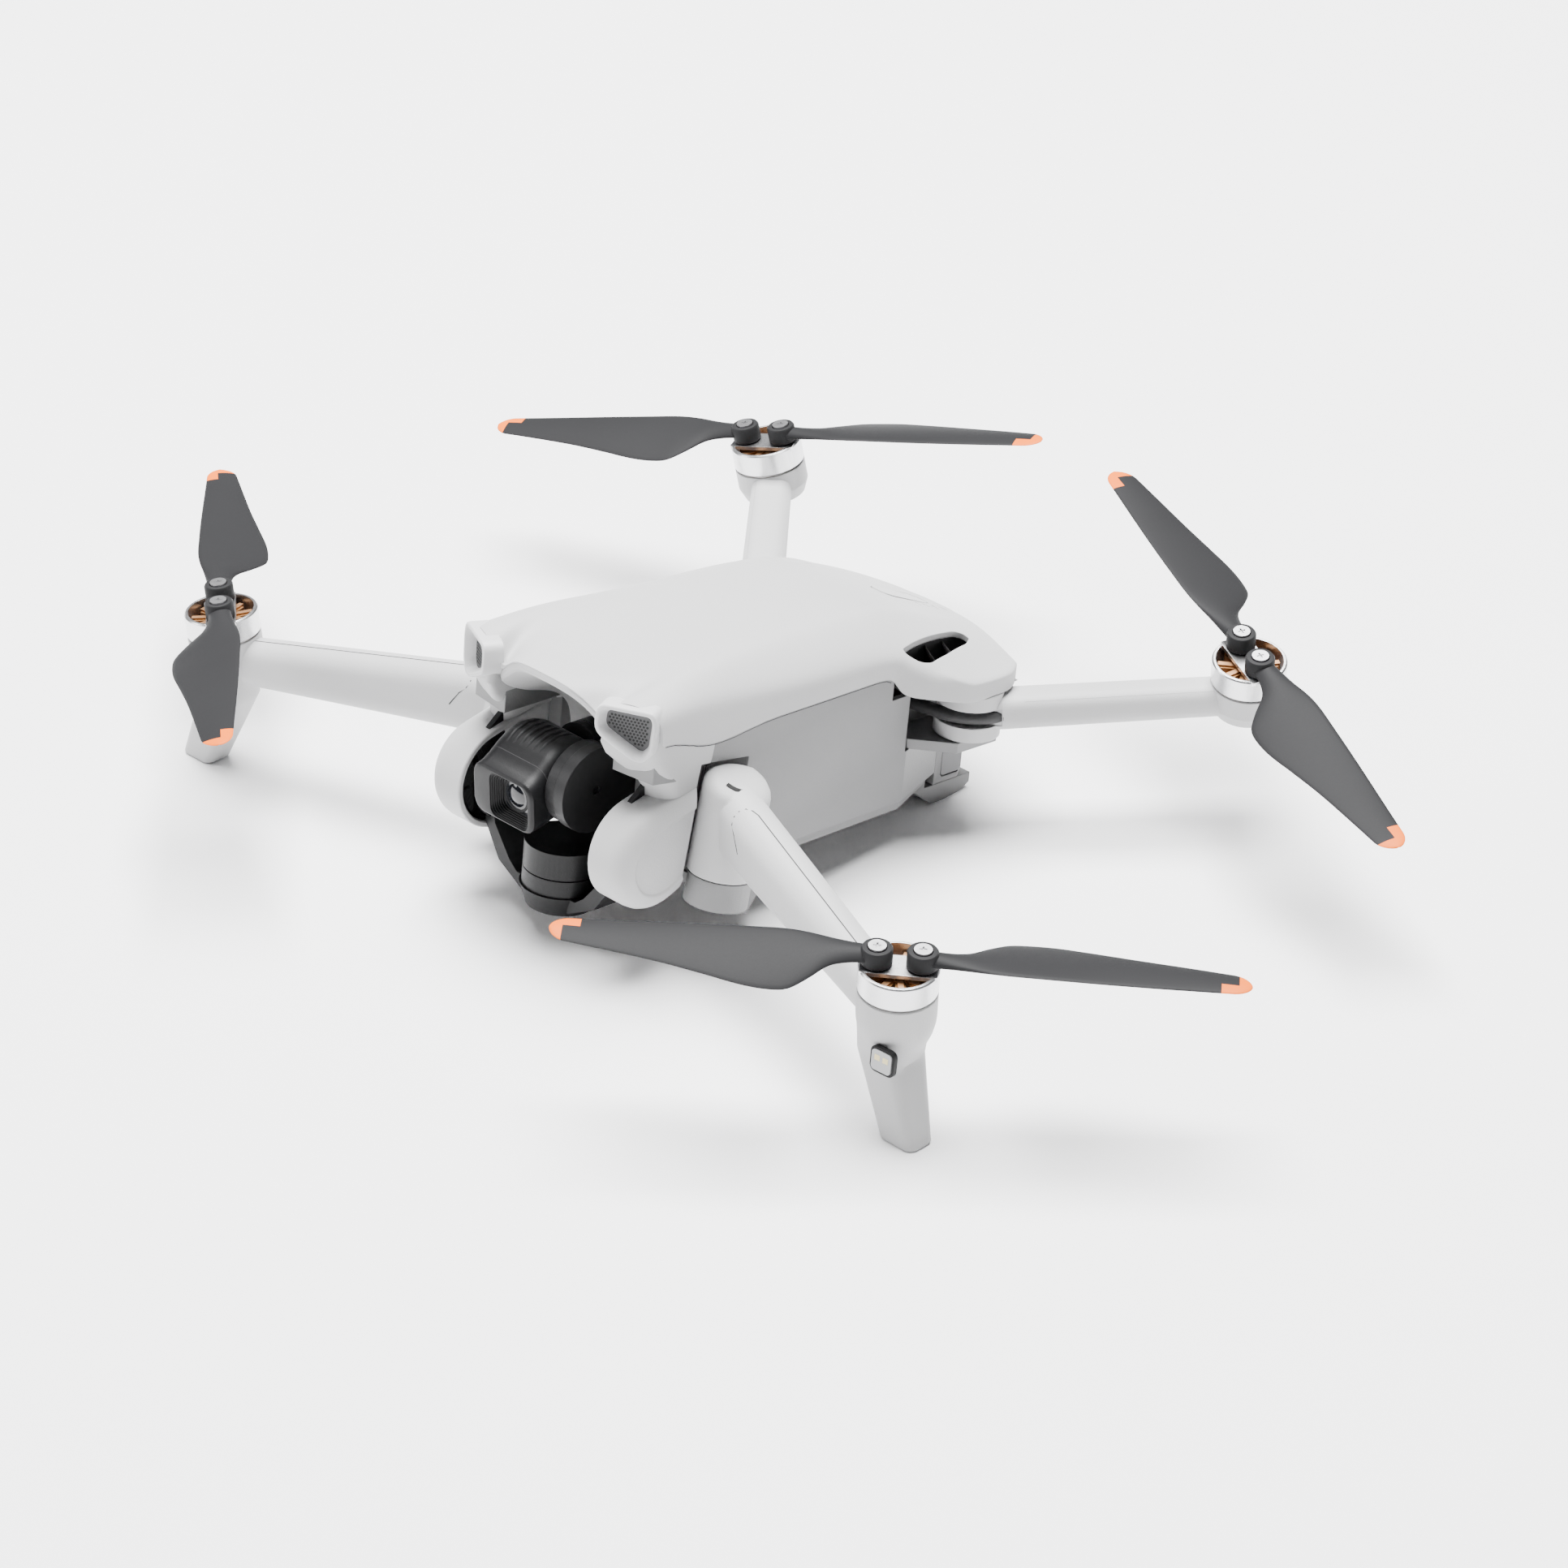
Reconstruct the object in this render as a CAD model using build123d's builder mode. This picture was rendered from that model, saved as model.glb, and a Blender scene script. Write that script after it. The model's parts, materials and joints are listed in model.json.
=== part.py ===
"""Folding camera quadcopter, unfolded and standing on its two front legs and its tail.

World frame: +X is the craft's left, -Y is the way it flies, +Z is up and z = 0 is the ground.
The fuselage stands nose-up, so most pieces are drawn in the body frame (x, v, w):
x across, v towards the tail and w up out of the back.
"""

import os
from math import atan2, cos, radians, sin, tan

from build123d import *

# Driving dimensions, in millimetres and degrees
PITCH = 7.0                        # nose-up stance of the fuselage
WALL = 1.5                         # moulded wall thickness
GAP = 0.3                          # clearance between moving pieces
SEAM = 48.0                        # height of the joint line under the upper shell
BELLY = 13.9                       # underside of the middle frame
BODY_HALF = 31.0                   # half width of the body sides
OVERHANG = 41.8                    # underside of the shell over the rear hinges
TAIL_END = 48.0                    # rear face of the battery cap

HUB_FRONT = (113.4, -66.8, 46.0)   # top of the front rotor screws
HUB_REAR = (81.3, 85.1, 48.3)      # top of the rear rotor screws
SPIN_FRONT = 39.4                  # direction of the blades about the rotor axis
SPIN_REAR = -22.9
CANT_FRONT = (0.088, -0.036, 1.0)  # rotor axes lean outwards and forwards
CANT_REAR = (0.128, -0.116, 1.0)

PIVOT_FRONT = (36.0, -45.5)        # arm hinges in the body plan
PIVOT_REAR = (35.0, 34.0)
HINGE_LEAN = 8.0                   # front hinge axis leans back, so the arm stows low
KNUCKLE_R = 8.0
KNUCKLE_LOW, KNUCKLE_HIGH = 16.2, 40.8
FORK_LOW, FORK_HIGH = 30.0, 41.4
PIN_R = 2.0

BELL_R = 8.9                       # brushless motor bell
BELL_TOP, BELL_LOW = -4.9, -10.9   # below the screw top
POD_TOP = -11.25
SCREW_SPACING = 9.9
BLADE_TIP_R = 75.6
RUN_FIT = 0.05                     # radial clearance of shafts and pivots

YAW_V = -62.0                      # gimbal axes
TILT_V, TILT_W = -66.0, 33.0
CAMERA_X = (-14.0, 6.0)
CAMERA_FRONT = -79.5
YAW_TOP = 14.5

body = Plane(origin=(0, 0, 0), x_dir=(1, 0, 0), z_dir=(0, sin(radians(PITCH)), cos(radians(PITCH))))
os.makedirs("parts", exist_ok=True)


def level(w):
    """Sketch plane parallel to the body's back, at height w."""
    return body.offset(w)


def side(x):
    """Sketch plane facing left, with sketch axes v and w."""
    return Plane(origin=(x, 0, 0), x_dir=body.y_dir, z_dir=(1, 0, 0))


def facing_front(v):
    """Sketch plane facing forwards, with sketch axes x and w."""
    return Plane(origin=body.from_local_coords((0, v, 0)), x_dir=(1, 0, 0), z_dir=-body.y_dir)


def in_body(x, v, w):
    """World position of a point in the body frame."""
    return body.from_local_coords(Vector(x, v, w))


def keep(piece, name):
    """Label a finished piece and write it."""
    piece.label = name
    export_step(piece, f"parts/{name}.step")


def keep_pair(builder, name):
    """Write a left-hand piece and its mirror image."""
    keep(builder.part, f"{name}_left")
    with BuildPart() as twin:
        mirror(builder.part, about=Plane.YZ)
    keep(twin.part, f"{name}_right")


def two_sided(points):
    """Flat face from the points of its right half, which start and end on the centre line."""
    with BuildSketch() as outline:
        with BuildLine():
            Polyline(*points, *[(-x, y) for x, y in reversed(points[1:-1])], close=True)
        make_face()
    return outline.sketch


def rounded(points, radius, inset):
    """Flat face with rounded corners, pulled in by inset."""
    with BuildSketch() as outline:
        with BuildLine():
            FilletPolyline(*points, radius=radius, close=True)
        make_face()
        if inset:
            offset(amount=-inset, mode=Mode.REPLACE)
    return outline.sketch


# ---- Fuselage forms -------------------------------------------------------------------------

# Cross sections of the back: v, half width, shoulder height, crown half width, crown, centre
BACK = (
    (-75.0, 31.5, 58.5, 25.0, 61.3, 59.3),
    (-50.0, 31.2, 57.0, 24.0, 61.8, 60.2),
    (-25.0, 31.0, 54.8, 20.0, 61.0, 60.7),
    (8.0, 31.0, 53.5, 19.0, 59.8, 60.2),
    (24.0, 42.5, 46.4, 18.0, 56.6, 57.2),
    (34.0, 42.5, 45.8, 18.0, 52.9, 53.4),
    (59.0, 42.5, 43.4, 18.0, 42.9, 43.2),
)

PLAN = ((0, -73.5), (17.5, -73.5), (31.5, -67.0), (31.0, -40.0), (31.0, 11.0), (42.0, 26.0),
        (42.0, 39.5), (33.0, 53.0), (12.0, 58.0), (0, 58.0))


def back_form(inset):
    """The closed form of the back above the overhang, pulled in by inset on every side."""
    low = OVERHANG + inset
    with BuildPart() as form:
        for v, half, shoulder, crown_x, crown, centre in BACK:
            outline = [(0, low), (half - inset, low), (half - inset, max(shoulder - 1.2 * inset, low + 0.1)),
                       (crown_x - inset / 2, max(crown - 1.1 * inset, low + 0.2)),
                       (0, max(centre - inset, low + 0.3))]
            with BuildSketch(facing_front(v)):
                with BuildLine():
                    Polyline(*outline, *[(-x, w) for x, w in reversed(outline[1:4])], close=True)
                make_face()
        loft(ruled=True)
        with BuildSketch(level(0)):
            add(two_sided(PLAN))
            if inset:
                offset(amount=-inset, kind=Kind.INTERSECTION, mode=Mode.REPLACE)
        extrude(amount=90, mode=Mode.INTERSECT)
    return form.part


EYE = ((-7.5, 5.2), (7.0, 5.5), (7.8, 2.0), (4.0, -4.8), (-0.8, -5.6), (-7.9, -1.2))
EYE_TURN = radians(25.0)
eye_plane = Plane(origin=in_body(25.2, -70.9, 54.0),
                  x_dir=body.x_dir * cos(EYE_TURN) + body.y_dir * sin(EYE_TURN),
                  z_dir=body.x_dir * sin(EYE_TURN) - body.y_dir * cos(EYE_TURN))


def eye_outline(inset):
    """Rounded five-sided outline of an eye opening."""
    return rounded(EYE, 2.2, inset)


def eye_block(inset, depth, front=1.0):
    """Prism through both eye openings, from front of the bezel face to a depth behind it."""
    with BuildPart() as block:
        with BuildSketch(eye_plane.offset(-depth)):
            add(eye_outline(inset))
        extrude(amount=depth + front)
        mirror(about=Plane.YZ)
    return block.part


def hinge_plane(pivot, w, lean):
    """Plane square to an arm's hinge axis at height w on it."""
    axis = body.z_dir * cos(radians(lean)) + body.y_dir * sin(radians(lean))
    foot = in_body(pivot[0], pivot[1], (KNUCKLE_LOW + KNUCKLE_HIGH) / 2)
    return Plane(origin=foot, x_dir=(1, 0, 0), z_dir=axis).offset(w - (KNUCKLE_LOW + KNUCKLE_HIGH) / 2)


def knuckle_space():
    """Clearance that the front knuckles and the cups under them stand in, both sides."""
    with BuildPart() as space:
        with BuildSketch(hinge_plane(PIVOT_FRONT, 6.0, HINGE_LEAN)):
            Circle(KNUCKLE_R + 1.3)
        extrude(amount=KNUCKLE_HIGH + 0.9 - 6.0)
        mirror(about=Plane.YZ)
    return space.part


VENT = ((15.0, 55.0), (35.5, 52.3), (40.0, 49.2), (38.0, 47.6), (24.5, 47.2), (21.0, 48.6))


def vent_outline(inset):
    """Outline of a side vent."""
    return rounded(VENT, 1.2, inset)


SLOPE = atan2(BACK[-2][5] - BACK[-1][5], BACK[-1][0] - BACK[-2][0])
button_plane = Plane(origin=in_body(0, 45.0, BACK[-2][5] - (45.0 - BACK[-2][0]) * tan(SLOPE)), x_dir=(1, 0, 0),
                     z_dir=body.z_dir * cos(SLOPE) + body.y_dir * sin(SLOPE))
BUTTON = (7.0, 17.0)
LED_SPOTS = [(6.3, 10.2 - 3.4 * n) for n in range(4)]

# ---- Upper shell ----------------------------------------------------------------------------

with BuildPart() as upper_shell:
    add(back_form(0))
    add(back_form(WALL), mode=Mode.SUBTRACT)
    with BuildSketch(level(0)):                       # the body below the seam, ahead of the overhang
        with Locations((0, 11.5 - 50)):
            Rectangle(120, 100)
    extrude(amount=SEAM + 0.2, mode=Mode.SUBTRACT)
    with BuildSketch(level(0)):                       # opening over the tail for the middle frame
        with Locations((0, 30)):
            Rectangle(2 * 24.0, 2 * 22.5)
    extrude(amount=OVERHANG + WALL, mode=Mode.SUBTRACT)
    with BuildSketch(side(-60)):
        add(vent_outline(0))
    extrude(amount=120, mode=Mode.SUBTRACT)
    with BuildSketch(button_plane.offset(-4)):
        RectangleRounded(BUTTON[0] + 2 * GAP, BUTTON[1] + 2 * GAP, 3.0)
        with Locations(*LED_SPOTS):
            Rectangle(2.2, 0.7)
    extrude(amount=8, mode=Mode.SUBTRACT)
    add(eye_block(-0.15, 5.5), mode=Mode.SUBTRACT)
keep(upper_shell.part, "upper_shell")

with BuildPart() as vent_louvres:
    with BuildSketch(side(17.5)):
        add(vent_outline(0.2))
    extrude(amount=28)
    with BuildSketch(side(18.8)):
        add(vent_outline(1.3))
    extrude(amount=28, mode=Mode.SUBTRACT)
    for start in (22.5, 29.5):                        # two slanting vanes
        with BuildSketch(side(18.8)):
            with BuildLine():
                Polyline((start - 3.2, 54.0), (start - 2.5, 54.0), (start + 3.5, 46.5), (start + 2.8, 46.5),
                         close=True)
            make_face()
        extrude(amount=26)
    with BuildSketch(side(17.5)):
        add(vent_outline(0.2))
    extrude(amount=28, mode=Mode.INTERSECT)
    add(back_form(WALL + 0.2), mode=Mode.INTERSECT)
    mirror(about=Plane.YZ)
keep(vent_louvres.part, "vent_louvres")

with BuildPart() as power_button:
    with BuildSketch(button_plane.offset(-1.6)):
        RectangleRounded(*BUTTON, 2.8)
    extrude(amount=1.85)
    with BuildSketch(button_plane.offset(-3.6)):
        Circle(1.4)
    extrude(amount=2.0)
keep(power_button.part, "power_button")

with BuildPart() as status_leds:
    with BuildSketch(button_plane.offset(-2.0)):
        with Locations(*LED_SPOTS):
            Rectangle(2.1, 0.6)
    extrude(amount=1.95)
keep(status_leds.part, "status_leds")

with BuildPart() as eye_bezels:
    with BuildSketch(eye_plane.offset(-5.3)):
        add(eye_outline(0))
    extrude(amount=5.3)
    with BuildSketch(eye_plane):
        add(eye_outline(1.2))
    extrude(amount=-5.3, taper=9, mode=Mode.SUBTRACT)
    mirror(about=Plane.YZ)
keep(eye_bezels.part, "eye_bezels")

with BuildPart() as sensor_grilles:
    with BuildSketch(eye_plane.offset(-3.6)):
        add(eye_outline(1.95))
        with GridLocations(1.5, 1.5, 7, 4):
            Circle(0.42, mode=Mode.SUBTRACT)
    extrude(amount=0.8)
    mirror(about=Plane.YZ)
keep(sensor_grilles.part, "sensor_grilles")

# ---- Middle frame ---------------------------------------------------------------------------

TUB = ((0, -44.5), (18.0, -44.5), (18.0, -48.2), (BODY_HALF, -48.2), (BODY_HALF, 17.5), (23.7, 19.0),
       (23.7, 47.0), (0, 47.0))


def tub_outline(inset):
    """Plan of the middle frame."""
    with BuildSketch() as outline:
        add(two_sided(TUB))
        if inset:
            offset(amount=-inset, kind=Kind.INTERSECTION, mode=Mode.REPLACE)
    return outline.sketch


with BuildPart() as middle_frame:
    with BuildSketch(level(BELLY)):
        add(tub_outline(0))
    extrude(amount=OVERHANG - BELLY)
    with BuildSketch(level(OVERHANG)):
        add(tub_outline(0))
        with Locations((0, 11.3 + 30)):
            Rectangle(2 * 60, 60, mode=Mode.SUBTRACT)
    extrude(amount=SEAM - OVERHANG)
    with BuildSketch(level(BELLY - 1)):
        add(tub_outline(WALL))
    extrude(amount=SEAM + 2 - BELLY, mode=Mode.SUBTRACT)
    for sign in (1, -1):                              # socket walls behind the front knuckles
        with BuildSketch(level(BELLY)):
            with Locations((sign * PIVOT_FRONT[0], PIVOT_FRONT[1])):
                Circle(KNUCKLE_R + 4.4)
            with Locations((sign * 24.0, -39.6)):
                Rectangle(13.5, 17.2, mode=Mode.INTERSECT)
        extrude(amount=SEAM - BELLY - 4)
    with BuildSketch(level(38.0)):                    # deck under the main board
        add(tub_outline(WALL))
        with Locations((0, 40)):
            Rectangle(60, 60, mode=Mode.SUBTRACT)
        with GridLocations(30, 40, 2, 2):
            Rectangle(8, 14, mode=Mode.SUBTRACT)
    extrude(amount=1.2)
    with BuildSketch(level(40.5)):                    # shoulders beside the gimbal
        for sign in (1, -1):
            with BuildLine():
                Polyline((sign * 18.0, -48.2), (sign * 18.0, -66.5), (sign * 29.5, -65.0),
                         (sign * BODY_HALF, -60.0), (sign * BODY_HALF, -48.2), close=True)
            make_face()
    extrude(amount=SEAM - 40.5)
    with BuildSketch(level(27.0)):                    # brackets that carry the rear hinges from below
        for sign in (1, -1):
            with BuildLine():
                Polyline((sign * 22.2, 19.0), (sign * 30.0, 19.0), (sign * 39.0, 27.0), (sign * 39.5, 40.0),
                         (sign * 33.0, 45.5), (sign * 22.2, 47.0), close=True)
            make_face()
    extrude(amount=2.6)
    with BuildSketch(level(BELLY)):                   # flared sides below the brackets
        for sign in (1, -1):
            with BuildLine():
                Polyline((sign * 22.2, 16.0), (sign * BODY_HALF, 16.0), (sign * BODY_HALF, 18.0),
                         (sign * 24.8, 36.0), (sign * 22.2, 36.0), close=True)
            make_face()
    extrude(amount=27.0 - BELLY)
    with BuildSketch(level(BELLY - 1)):               # battery bay, open to the tail
        with Locations((0, 30.0)):
            Rectangle(2 * 21.4, 50)
    extrude(amount=37.0 - BELLY + 1, mode=Mode.SUBTRACT)
    with BuildSketch(level(BELLY - 1)):               # room for the battery cap
        with Locations((0, 36.2 + 10)):
            Rectangle(60, 20)
    extrude(amount=26.9 - BELLY + 1, mode=Mode.SUBTRACT)
    add(knuckle_space(), mode=Mode.SUBTRACT)
    add(eye_block(-0.15, 5.5), mode=Mode.SUBTRACT)
    with BuildSketch(hinge_plane(PIVOT_REAR, 27.0, 0)):  # bores of the rear hinge pins
        Circle(PIN_R)
        with Locations((-2 * PIVOT_REAR[0], 0)):
            Circle(PIN_R)
    extrude(amount=3, mode=Mode.SUBTRACT)
keep(middle_frame.part, "middle_frame")

# ---- Belly cover with hinge cups, fins and tail bumper --------------------------------------


def on_floor(v):
    """Height w at which the ground lies under station v."""
    return v * tan(radians(PITCH))


with BuildPart() as belly_cover:
    with BuildSketch(level(BELLY - 2.0)):
        add(two_sided(((0, -44.5), (18.0, -44.5), (20.0, -48.0), (29.0, -48.0), (30.6, -46.0), (30.6, 17.5),
                       (24.6, 33.0), (0, 33.0))))
    extrude(amount=2.0 - 0.05)
    with BuildSketch(level(BELLY - 2.0)):
        with Locations(*[(sx * 24.0, v) for sx in (1, -1) for v in (-20.0, 12.0)]):
            Circle(1.5)
        with Locations((0, -20.0), (0, -6.0)):
            Circle(3.2)
    extrude(amount=2.0, mode=Mode.SUBTRACT)
    for sign in (1, -1):
        with BuildSketch(hinge_plane((sign * PIVOT_FRONT[0], PIVOT_FRONT[1]), 9.0, HINGE_LEAN)):
            Circle(KNUCKLE_R - 0.5)
        extrude(amount=KNUCKLE_LOW - GAP - 9.0)
    for x in (21.5, -33.0):                           # fins below the cups
        with BuildSketch(side(x)):
            with BuildLine():
                Polyline((-49.0, 13.0), (-30.0, 13.0), (-30.6, 5.5), (-34.0, 0.6), (-37.5, 1.2), (-41.5, 5.5),
                         (-47.0, 9.0), close=True)
            make_face()
        extrude(amount=11.5)
    with BuildSketch(side(-24.0)):                    # tail bumper
        with BuildLine():
            Polyline((24.0, BELLY - 0.05), (24.0, 11.0), (31.0, 9.4), (36.8, on_floor(36.8) + 0.6),
                     (41.0, on_floor(41.0)), (47.0, on_floor(47.0)), (50.0, 7.5), (50.0, 10.0), (34.0, 10.0),
                     (34.0, BELLY - 0.05), close=True)
        make_face()
    extrude(amount=48.0)
    for sign in (1, -1):                              # seats of the front hinge pins
        with BuildSketch(hinge_plane((sign * PIVOT_FRONT[0], PIVOT_FRONT[1]), 11.0, HINGE_LEAN)):
            Circle(PIN_R)
        extrude(amount=6, mode=Mode.SUBTRACT)
keep(belly_cover.part, "belly_cover")

with BuildPart() as hinge_pins:
    for sign in (1, -1):
        with BuildSketch(hinge_plane((sign * PIVOT_FRONT[0], PIVOT_FRONT[1]), 11.0, HINGE_LEAN)):
            Circle(PIN_R)
        extrude(amount=26.0)
        with BuildSketch(hinge_plane((sign * PIVOT_REAR[0], PIVOT_REAR[1]), 27.0, 0)):
            Circle(PIN_R)
        extrude(amount=OVERHANG - 27.0)
keep(hinge_pins.part, "hinge_pins")

with BuildPart() as body_screws:
    with BuildSketch(level(BELLY - 2.0)):
        with Locations(*[(sx * 24.0, v) for sx in (1, -1) for v in (-20.0, 12.0)]):
            Circle(1.5)
            Rectangle(1.9, 0.4, mode=Mode.SUBTRACT)
            Rectangle(0.4, 1.9, mode=Mode.SUBTRACT)
    extrude(amount=1.9)
keep(body_screws.part, "body_screws")

with BuildPart() as belly_sensor_lenses:
    with BuildSketch(level(BELLY - 1.9)):
        with Locations((0, -20.0), (0, -6.0)):
            Circle(3.1)
    extrude(amount=1.8)
keep(belly_sensor_lenses.part, "belly_sensor_lenses")

with BuildPart() as main_board:
    with BuildSketch(level(39.4)):
        with Locations((0, -14.0)):
            Rectangle(40, 46)
    extrude(amount=1.2)
    with BuildSketch(level(40.6)):
        with Locations((-9, -24), (8, -22)):
            Rectangle(12, 12)
        with Locations((0, -4)):
            Rectangle(20, 9)
    extrude(amount=1.4)
keep(main_board.part, "main_board")

# ---- Cheeks and gimbal suspension -----------------------------------------------------------

CHEEK_IN, CHEEK_OUT = 21.5, 33.0


def cheek_outline(inset):
    """Drop-shaped side view of a cheek, in the open sketch."""
    with Locations((YAW_V - 1.3, 22.0)):
        Circle(12.6 - inset)
    with Locations((-55.5, 36.5)):
        Circle(6.8 - inset)
    make_hull()
    with Locations((-55, 60.0)):
        Rectangle(50, 2 * (60.0 - 40.3 + inset), mode=Mode.SUBTRACT)


with BuildPart() as cheek:
    with BuildSketch(side(CHEEK_IN)):
        cheek_outline(0)
    extrude(amount=CHEEK_OUT - CHEEK_IN)
    chamfer(cheek.faces().sort_by(Axis.X)[-1].edges(), 2.2)
    with BuildSketch(side(CHEEK_IN)):
        cheek_outline(WALL)
    extrude(amount=CHEEK_OUT - CHEEK_IN - 2.6, mode=Mode.SUBTRACT)
    add(knuckle_space(), mode=Mode.SUBTRACT)
keep_pair(cheek, "cheek")

with BuildPart() as damper_covers:
    with BuildSketch(side(23.0)):
        cheek_outline(WALL)
        with Locations((YAW_V - 4, 21.0), (YAW_V + 4, 21.0)):
            Circle(1.2, mode=Mode.SUBTRACT)
    extrude(amount=1.4)
    add(knuckle_space(), mode=Mode.SUBTRACT)
    mirror(about=Plane.YZ)
keep(damper_covers.part, "damper_covers")

with BuildPart() as gimbal_dampers:
    with BuildSketch(side(21.3)):
        with Locations((YAW_V - 4, 21.0), (YAW_V + 4, 21.0)):
            Circle(2.2)
    extrude(amount=1.7)
    mirror(about=Plane.YZ)
keep(gimbal_dampers.part, "gimbal_dampers")

with BuildPart() as gimbal_bracket:
    with BuildSketch(level(-1.5)):
        with Locations((0, YAW_V)):
            Circle(8.2)
    extrude(amount=5.0, taper=-18)
    with BuildSketch(side(19.5)):
        with Locations((YAW_V, 21.0)):
            Circle(9.0)
    extrude(amount=1.8)
    with BuildSketch(facing_front(YAW_V + 5.0)):      # curved strap from the bowl to the side disc
        with BuildLine():
            Polyline((7.5, 3.4), (7.5, -0.5), (16.0, 4.0), (21.3, 12.0), (21.3, 17.0), (19.5, 17.0),
                     (18.0, 12.5), (12.5, 5.5), (9.8, 3.4), close=True)
        make_face()
    extrude(amount=10.0)
    mirror(about=Plane.YZ)
keep(gimbal_bracket.part, "gimbal_bracket")

with BuildPart() as yaw_motor:
    with BuildSketch(level(3.5)):
        with Locations((0, YAW_V)):
            Circle(9.3)
            Circle(1.0 + RUN_FIT, mode=Mode.SUBTRACT)
    extrude(amount=4.2)
keep(yaw_motor.part, "yaw_motor")

# ---- Gimbal -----------------------------------------------------------------------------------

ROLL_X = CAMERA_X[0] + 10.0
with BuildPart() as yaw_arm:
    with BuildSketch(level(8.0)):
        with Locations((0, YAW_V)):
            Circle(9.3)
    extrude(amount=YAW_TOP - 8.0)
    with BuildSketch(level(4.0)):
        with Locations((0, YAW_V)):
            Circle(1.0)
    extrude(amount=5.0)
    with BuildSketch(facing_front(-49.6)):            # upright behind the camera
        with BuildLine():
            Polyline((-6.5, YAW_TOP - 5.5), (6.5, YAW_TOP - 5.5), (4.0, 24.0), (2.0, TILT_W), (-10.0, TILT_W),
                     (-8.5, 24.0), close=True)
        make_face()
        with Locations((ROLL_X, TILT_W)):
            Circle(7.2)
    extrude(amount=3.6)
    with BuildSketch(level(YAW_TOP - 5.5)):
        with Locations((0, YAW_V + 8.5)):
            Rectangle(13.0, 7.8)
    extrude(amount=5.5)
    with BuildSketch(facing_front(-49.6)):
        with Locations((ROLL_X, TILT_W)):
            Circle(1.0 + RUN_FIT)
    extrude(amount=3.6, mode=Mode.SUBTRACT)
keep(yaw_arm.part, "yaw_arm")

TILT_X = CAMERA_X[1] + GAP
with BuildPart() as roll_arm:
    with BuildSketch(facing_front(-53.5)):
        with Locations((ROLL_X, TILT_W)):
            Circle(7.2)
    extrude(amount=2.2)
    with BuildSketch(facing_front(-50.5)):
        with Locations((ROLL_X, TILT_W)):
            Circle(1.0)
    extrude(amount=4.0)
    with BuildSketch(facing_front(-53.5)):            # bridge to the tilt motor
        with BuildLine():
            Polyline((ROLL_X, TILT_W + 5.0), (TILT_X + 6.5, TILT_W + 5.0), (TILT_X + 6.5, TILT_W - 5.0),
                     (ROLL_X, TILT_W - 5.0), close=True)
        make_face()
    extrude(amount=2.2)
    with BuildSketch(side(TILT_X + 3.4)):
        with Locations((TILT_V, TILT_W)):
            Circle(10.4)
            Circle(1.0 + RUN_FIT, mode=Mode.SUBTRACT)
        with Locations((-57.0, TILT_W)):
            Rectangle(7.0, 10.0)
    extrude(amount=3.1)
keep(roll_arm.part, "roll_arm")

with BuildPart() as tilt_motor:
    with BuildSketch(side(TILT_X + 0.3)):
        with Locations((TILT_V, TILT_W)):
            Circle(10.0)
    extrude(amount=2.8)
    with BuildSketch(side(TILT_X)):
        with Locations((TILT_V, TILT_W)):
            Circle(6.0)
    extrude(amount=0.3)
    with BuildSketch(side(TILT_X - GAP)):
        with Locations((TILT_V, TILT_W)):
            Circle(6.0)
    extrude(amount=GAP)
    with BuildSketch(side(TILT_X + 3.0)):
        with Locations((TILT_V, TILT_W)):
            Circle(1.0)
    extrude(amount=3.0)
keep(tilt_motor.part, "tilt_motor")

HOOD_W = (22.8, 36.0)
LENS_W = 29.6
LENS_X = -2.8


def hood_opening(width, height):
    """Rounded square round the lens axis, in the open sketch."""
    with Locations((LENS_X, LENS_W)):
        RectangleRounded(width, height, 2.2)


def levelled(piece):
    """A camera piece turned level with the horizon about the tilt axis."""
    return piece.rotate(Axis(in_body(0, TILT_V, TILT_W), (1, 0, 0)), PITCH)


with BuildPart() as camera_body:
    with BuildSketch(side(CAMERA_X[0])):
        with Locations((TILT_V, TILT_W)):
            Circle(8.6)
        with BuildLine(mode=Mode.PRIVATE) as face_line:
            Polyline((-77.0, HOOD_W[0]), (-77.0, HOOD_W[1]), (-72.0, 41.0), close=True)
        make_face(face_line.edges())
        make_hull()
    extrude(amount=CAMERA_X[1] - CAMERA_X[0])
    with BuildSketch(facing_front(-70.0)):
        hood_opening(11.5, 11.5)
    extrude(amount=20, mode=Mode.SUBTRACT)
keep(levelled(camera_body.part), "camera_body")

with BuildPart() as camera_hood:
    with BuildSketch(facing_front(-77.0)):
        with Locations(((CAMERA_X[0] + CAMERA_X[1]) / 2, sum(HOOD_W) / 2)):
            RectangleRounded(CAMERA_X[1] - CAMERA_X[0], HOOD_W[1] - HOOD_W[0], 3.4)
    extrude(amount=-77.0 - CAMERA_FRONT)
    with BuildSketch(facing_front(-77.0)):
        hood_opening(10.5, 10.0)
    extrude(amount=5, mode=Mode.SUBTRACT)
keep(levelled(camera_hood.part), "camera_hood")

with BuildPart() as lens_barrel:
    with BuildSketch(facing_front(-70.0)):
        with Locations((LENS_X, LENS_W)):
            Circle(5.0)
            Circle(3.4, mode=Mode.SUBTRACT)
    extrude(amount=5.0)
    with BuildSketch(facing_front(-70.0)):
        with Locations((LENS_X, LENS_W)):
            Circle(5.0)
    extrude(amount=1.5)
keep(levelled(lens_barrel.part), "lens_barrel")

with BuildPart() as lens_glass:
    with BuildSketch(facing_front(-75.6)):
        hood_opening(9.6, 9.2)
    extrude(amount=0.8)
keep(levelled(lens_glass.part), "lens_glass")

# ---- Battery ----------------------------------------------------------------------------------

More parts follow.
